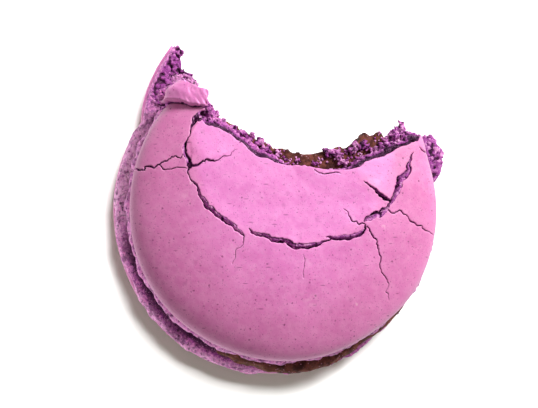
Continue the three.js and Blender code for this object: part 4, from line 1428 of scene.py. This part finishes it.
def crumb_material(name):
    m = Shader(name)
    relief, grain, patch = m.attribute("relief"), m.attribute("grain"), m.attribute("patch")
    # The crumb's colour follows its relief: dark in the hollows as painted shade, pale on the ridges of some
    # grains as painted highlight.
    colour = m.mix(m.remap(relief, 0.2, 0.62), CRUMB_DARK, CRUMB_PURPLE)
    pale = m.math("MULTIPLY", m.remap(relief, 0.56, 0.95), m.remap(grain, 0.3, 0.8, 0.1, 1.0))
    colour = m.mix(m.math("MULTIPLY", pale, m.remap(patch, 0.25, 0.8, 0.35, 1.0)), colour, CRUMB_PALE)
    # The baked foot: paler, with pale patches of its own
    frill = m.mix(m.remap(m.noise(2.4, 4, 0.65), 0.42, 0.6), CRUMB_PURPLE, CRUST_PINK)
    frill = m.mix(m.math("MULTIPLY", m.attribute("pale"), m.remap(m.noise(1.7, 3), 0.34, 0.6, 0.35, 1.0)),
                  frill, FOOT_PALE)
    baked = m.math("MULTIPLY", m.attribute("baked"), m.remap(relief, 0.1, 0.45, 0.5, 0.95))
    colour = m.mix(baked, colour, frill)
    # Over all of the crumb: small dark pits, painted shade in its pores, then dark mottling and pale sugar
    # flecks
    warped = m.warped(2.5, 0.6)
    pit = m.math("MULTIPLY", m.remap(m.cells(1.7, place=warped), 0.32, 0.14),
                 m.remap(m.noise(1.9, 2), 0.4, 0.6))
    colour = m.mix(m.math("MULTIPLY", pit, 0.8), colour, CRUMB_DARK)
    colour = m.mix(m.remap(m.noise(4.2, 3, 0.6), 0.52, 0.72, 0.0, 0.55), colour, CRUMB_DARK)
    sugar = m.math("MULTIPLY", m.remap(m.cells(3.2, place=warped), 0.34, 0.14),
                   m.remap(m.noise(1.3, 3), 0.42, 0.62))
    colour = m.mix(m.math("MULTIPLY", sugar, 0.6), colour, CRUMB_PALE)
    height = m.math("ADD", m.noise(4.0, 4, 0.65), m.math("MULTIPLY", m.cells(3.4, place=warped), -0.6))
    height = m.math("ADD", height, m.math("MULTIPLY", pit, -1.2))
    return m.surface(
        base_color=colour, roughness=0.75, normal=m.bump(height, 0.16, 1.0), specular_ior_level=0.25,
        subsurface_weight=0.12, subsurface_radius=(1.0, 0.5, 0.8), subsurface_scale=0.0005)


def ganache_material(name):
    m = Shader(name)
    colour = m.mix(m.remap(m.noise(0.9, 4), 0.38, 0.66), GANACHE_DARK, GANACHE)
    colour = m.mix(m.remap(m.attribute("patch"), 0.5, 0.9, 0.0, 0.4), colour, linear(148, 98, 82))
    dust = m.remap(m.noise(3.4, 4, 0.7), 0.6, 0.72)
    colour = m.mix(m.math("MULTIPLY", dust, 0.5), colour, CRUMB_PURPLE)
    flake = m.math("MULTIPLY", m.remap(m.cells(1.9), 0.26, 0.12), m.remap(m.noise(0.8, 3), 0.42, 0.56))
    colour = m.mix(m.math("MULTIPLY", flake, 0.8), colour, linear(200, 142, 164))
    colour = m.mix(m.remap(m.noise(3.0, 4, 0.6), 0.52, 0.7, 0.0, 0.6), colour, GANACHE_DARK)
    height = m.math("ADD", m.noise(1.6, 4), m.math("MULTIPLY", m.noise(5.0, 3), 0.4))
    return m.surface(
        base_color=colour, roughness=m.remap(m.noise(2.0, 3), 0.3, 0.7, 0.6, 0.85),
        normal=m.bump(height, 0.2, 0.9), specular_ior_level=0.08)


# The object

crust = crust_material("meringue crust")
crumb = crumb_material("meringue crumb")
chocolate = ganache_material("chocolate ganache")
COARSE = 1.0

upper_crust = upper_crust_piece(crust)
upper_crumb = upper_crumb_piece(crumb, 0.27 * COARSE)
upper_torn = upper_torn_piece(crumb, 0.15 * COARSE)
crack_crumb = crack_crumb_piece(crumb, 0.16 * COARSE)
ganache = filling_piece(chocolate, 0.26 * COARSE)
lower_crust = lower_crust_piece(crust)
lower_crumb = lower_crumb_piece(crumb, 0.27 * COARSE)
lower_torn = lower_torn_piece(crumb, 0.16 * COARSE)
crumbs = crumbs_piece(crumb, 0.12 * COARSE)
strewn_crumbs = strewn_crumbs_piece(ganache, crumb)

for piece in (upper_crust, upper_crumb, upper_torn, crack_crumb):
    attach(piece, "root")
    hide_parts("upper_shell")
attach(ganache, "root")
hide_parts("filling")
for piece in (lower_crust, lower_crumb, lower_torn):
    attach(piece, "root")
    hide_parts("lower_shell")
for piece in (crumbs, strewn_crumbs):
    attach(piece, "root")


# Floor, light and camera

def floor_piece():
    m = Shader("white floor")
    m.surface(base_color=(0.8, 0.96, 0.76), roughness=0.9, specular_ior_level=0.1)
    mesh = bpy.data.meshes.new("floor")
    mesh.from_pydata([(-3, -3, 0), (3, -3, 0), (3, 3, 0), (-3, 3, 0)], [], [(0, 1, 2, 3)])
    mesh.materials.append(m.material)
    return add_object("floor", mesh)


LIGHT_DISTANCE = 0.8


def soft_light(name, toward, size, power, colour, only):
    """A square soft light that stands off in a direction, faces the macaron and lights only some objects."""
    data = bpy.data.lights.new(name, "AREA")
    data.size, data.energy, data.color = size, power, colour
    obj = add_object(name, data)
    direction = Vector(toward).normalized()
    obj.location = direction * LIGHT_DISTANCE
    obj.rotation_euler = direction.to_track_quat("Z", "Y").to_euler()
    receivers = bpy.data.collections.new(name + " receivers")
    for receiver in only:
        receivers.objects.link(receiver)
    obj.light_linking.receiver_collection = receivers


def photo_camera():
    """Almost straight above, leaning a little to the lower left, with the bite towards the top."""
    tilt, side, distance = math.radians(12), math.radians(208), 0.260
    back = Vector((math.sin(tilt) * math.cos(side), math.sin(tilt) * math.sin(side), math.cos(tilt)))
    up = (Vector((0, 1, 0)) - back * back.y).normalized()
    right = up.cross(back)
    data = bpy.data.cameras.new("camera")
    data.sensor_width, data.sensor_fit, data.lens = 36, "HORIZONTAL", 116.6
    data.clip_start, data.clip_end = 0.01, 10
    obj = add_object("camera", data)
    aim = Vector((-2.17, 0.44, 12.9)) * MM
    obj.matrix_world = Matrix.Translation(aim + back * distance) @ Matrix(
        (right, up, back)).transposed().to_4x4()
    bpy.context.scene.camera = obj


floor = floor_piece()
pieces = (upper_crust, upper_crumb, upper_torn, crack_crumb, ganache, lower_crust, lower_crumb, lower_torn,
          crumbs, strewn_crumbs)
soft_light("key", (0.5, 0.575, 0.648), 0.24, 10.0, (1.0, 1.0, 1.0), pieces)
soft_light("table", (0.085, 0.312, 0.946), 0.24, 13.6, (0.95, 0.79, 1.0), (floor,))
soft_light("fill", (-0.8, -0.1, 0.6), 0.3, 2.7, (1.0, 0.93, 0.98),
           (upper_crumb, lower_crust, lower_crumb, lower_torn))
world = bpy.data.worlds.new("studio")
world.use_nodes = True
world.node_tree.nodes["Background"].inputs[0].default_value = (1.0, 0.93, 0.9, 1)
world.node_tree.nodes["Background"].inputs[1].default_value = 0.32
bpy.context.scene.world = world
photo_camera()
bpy.context.scene.view_settings.view_transform = "Standard"
bpy.context.scene.view_settings.look = "None"
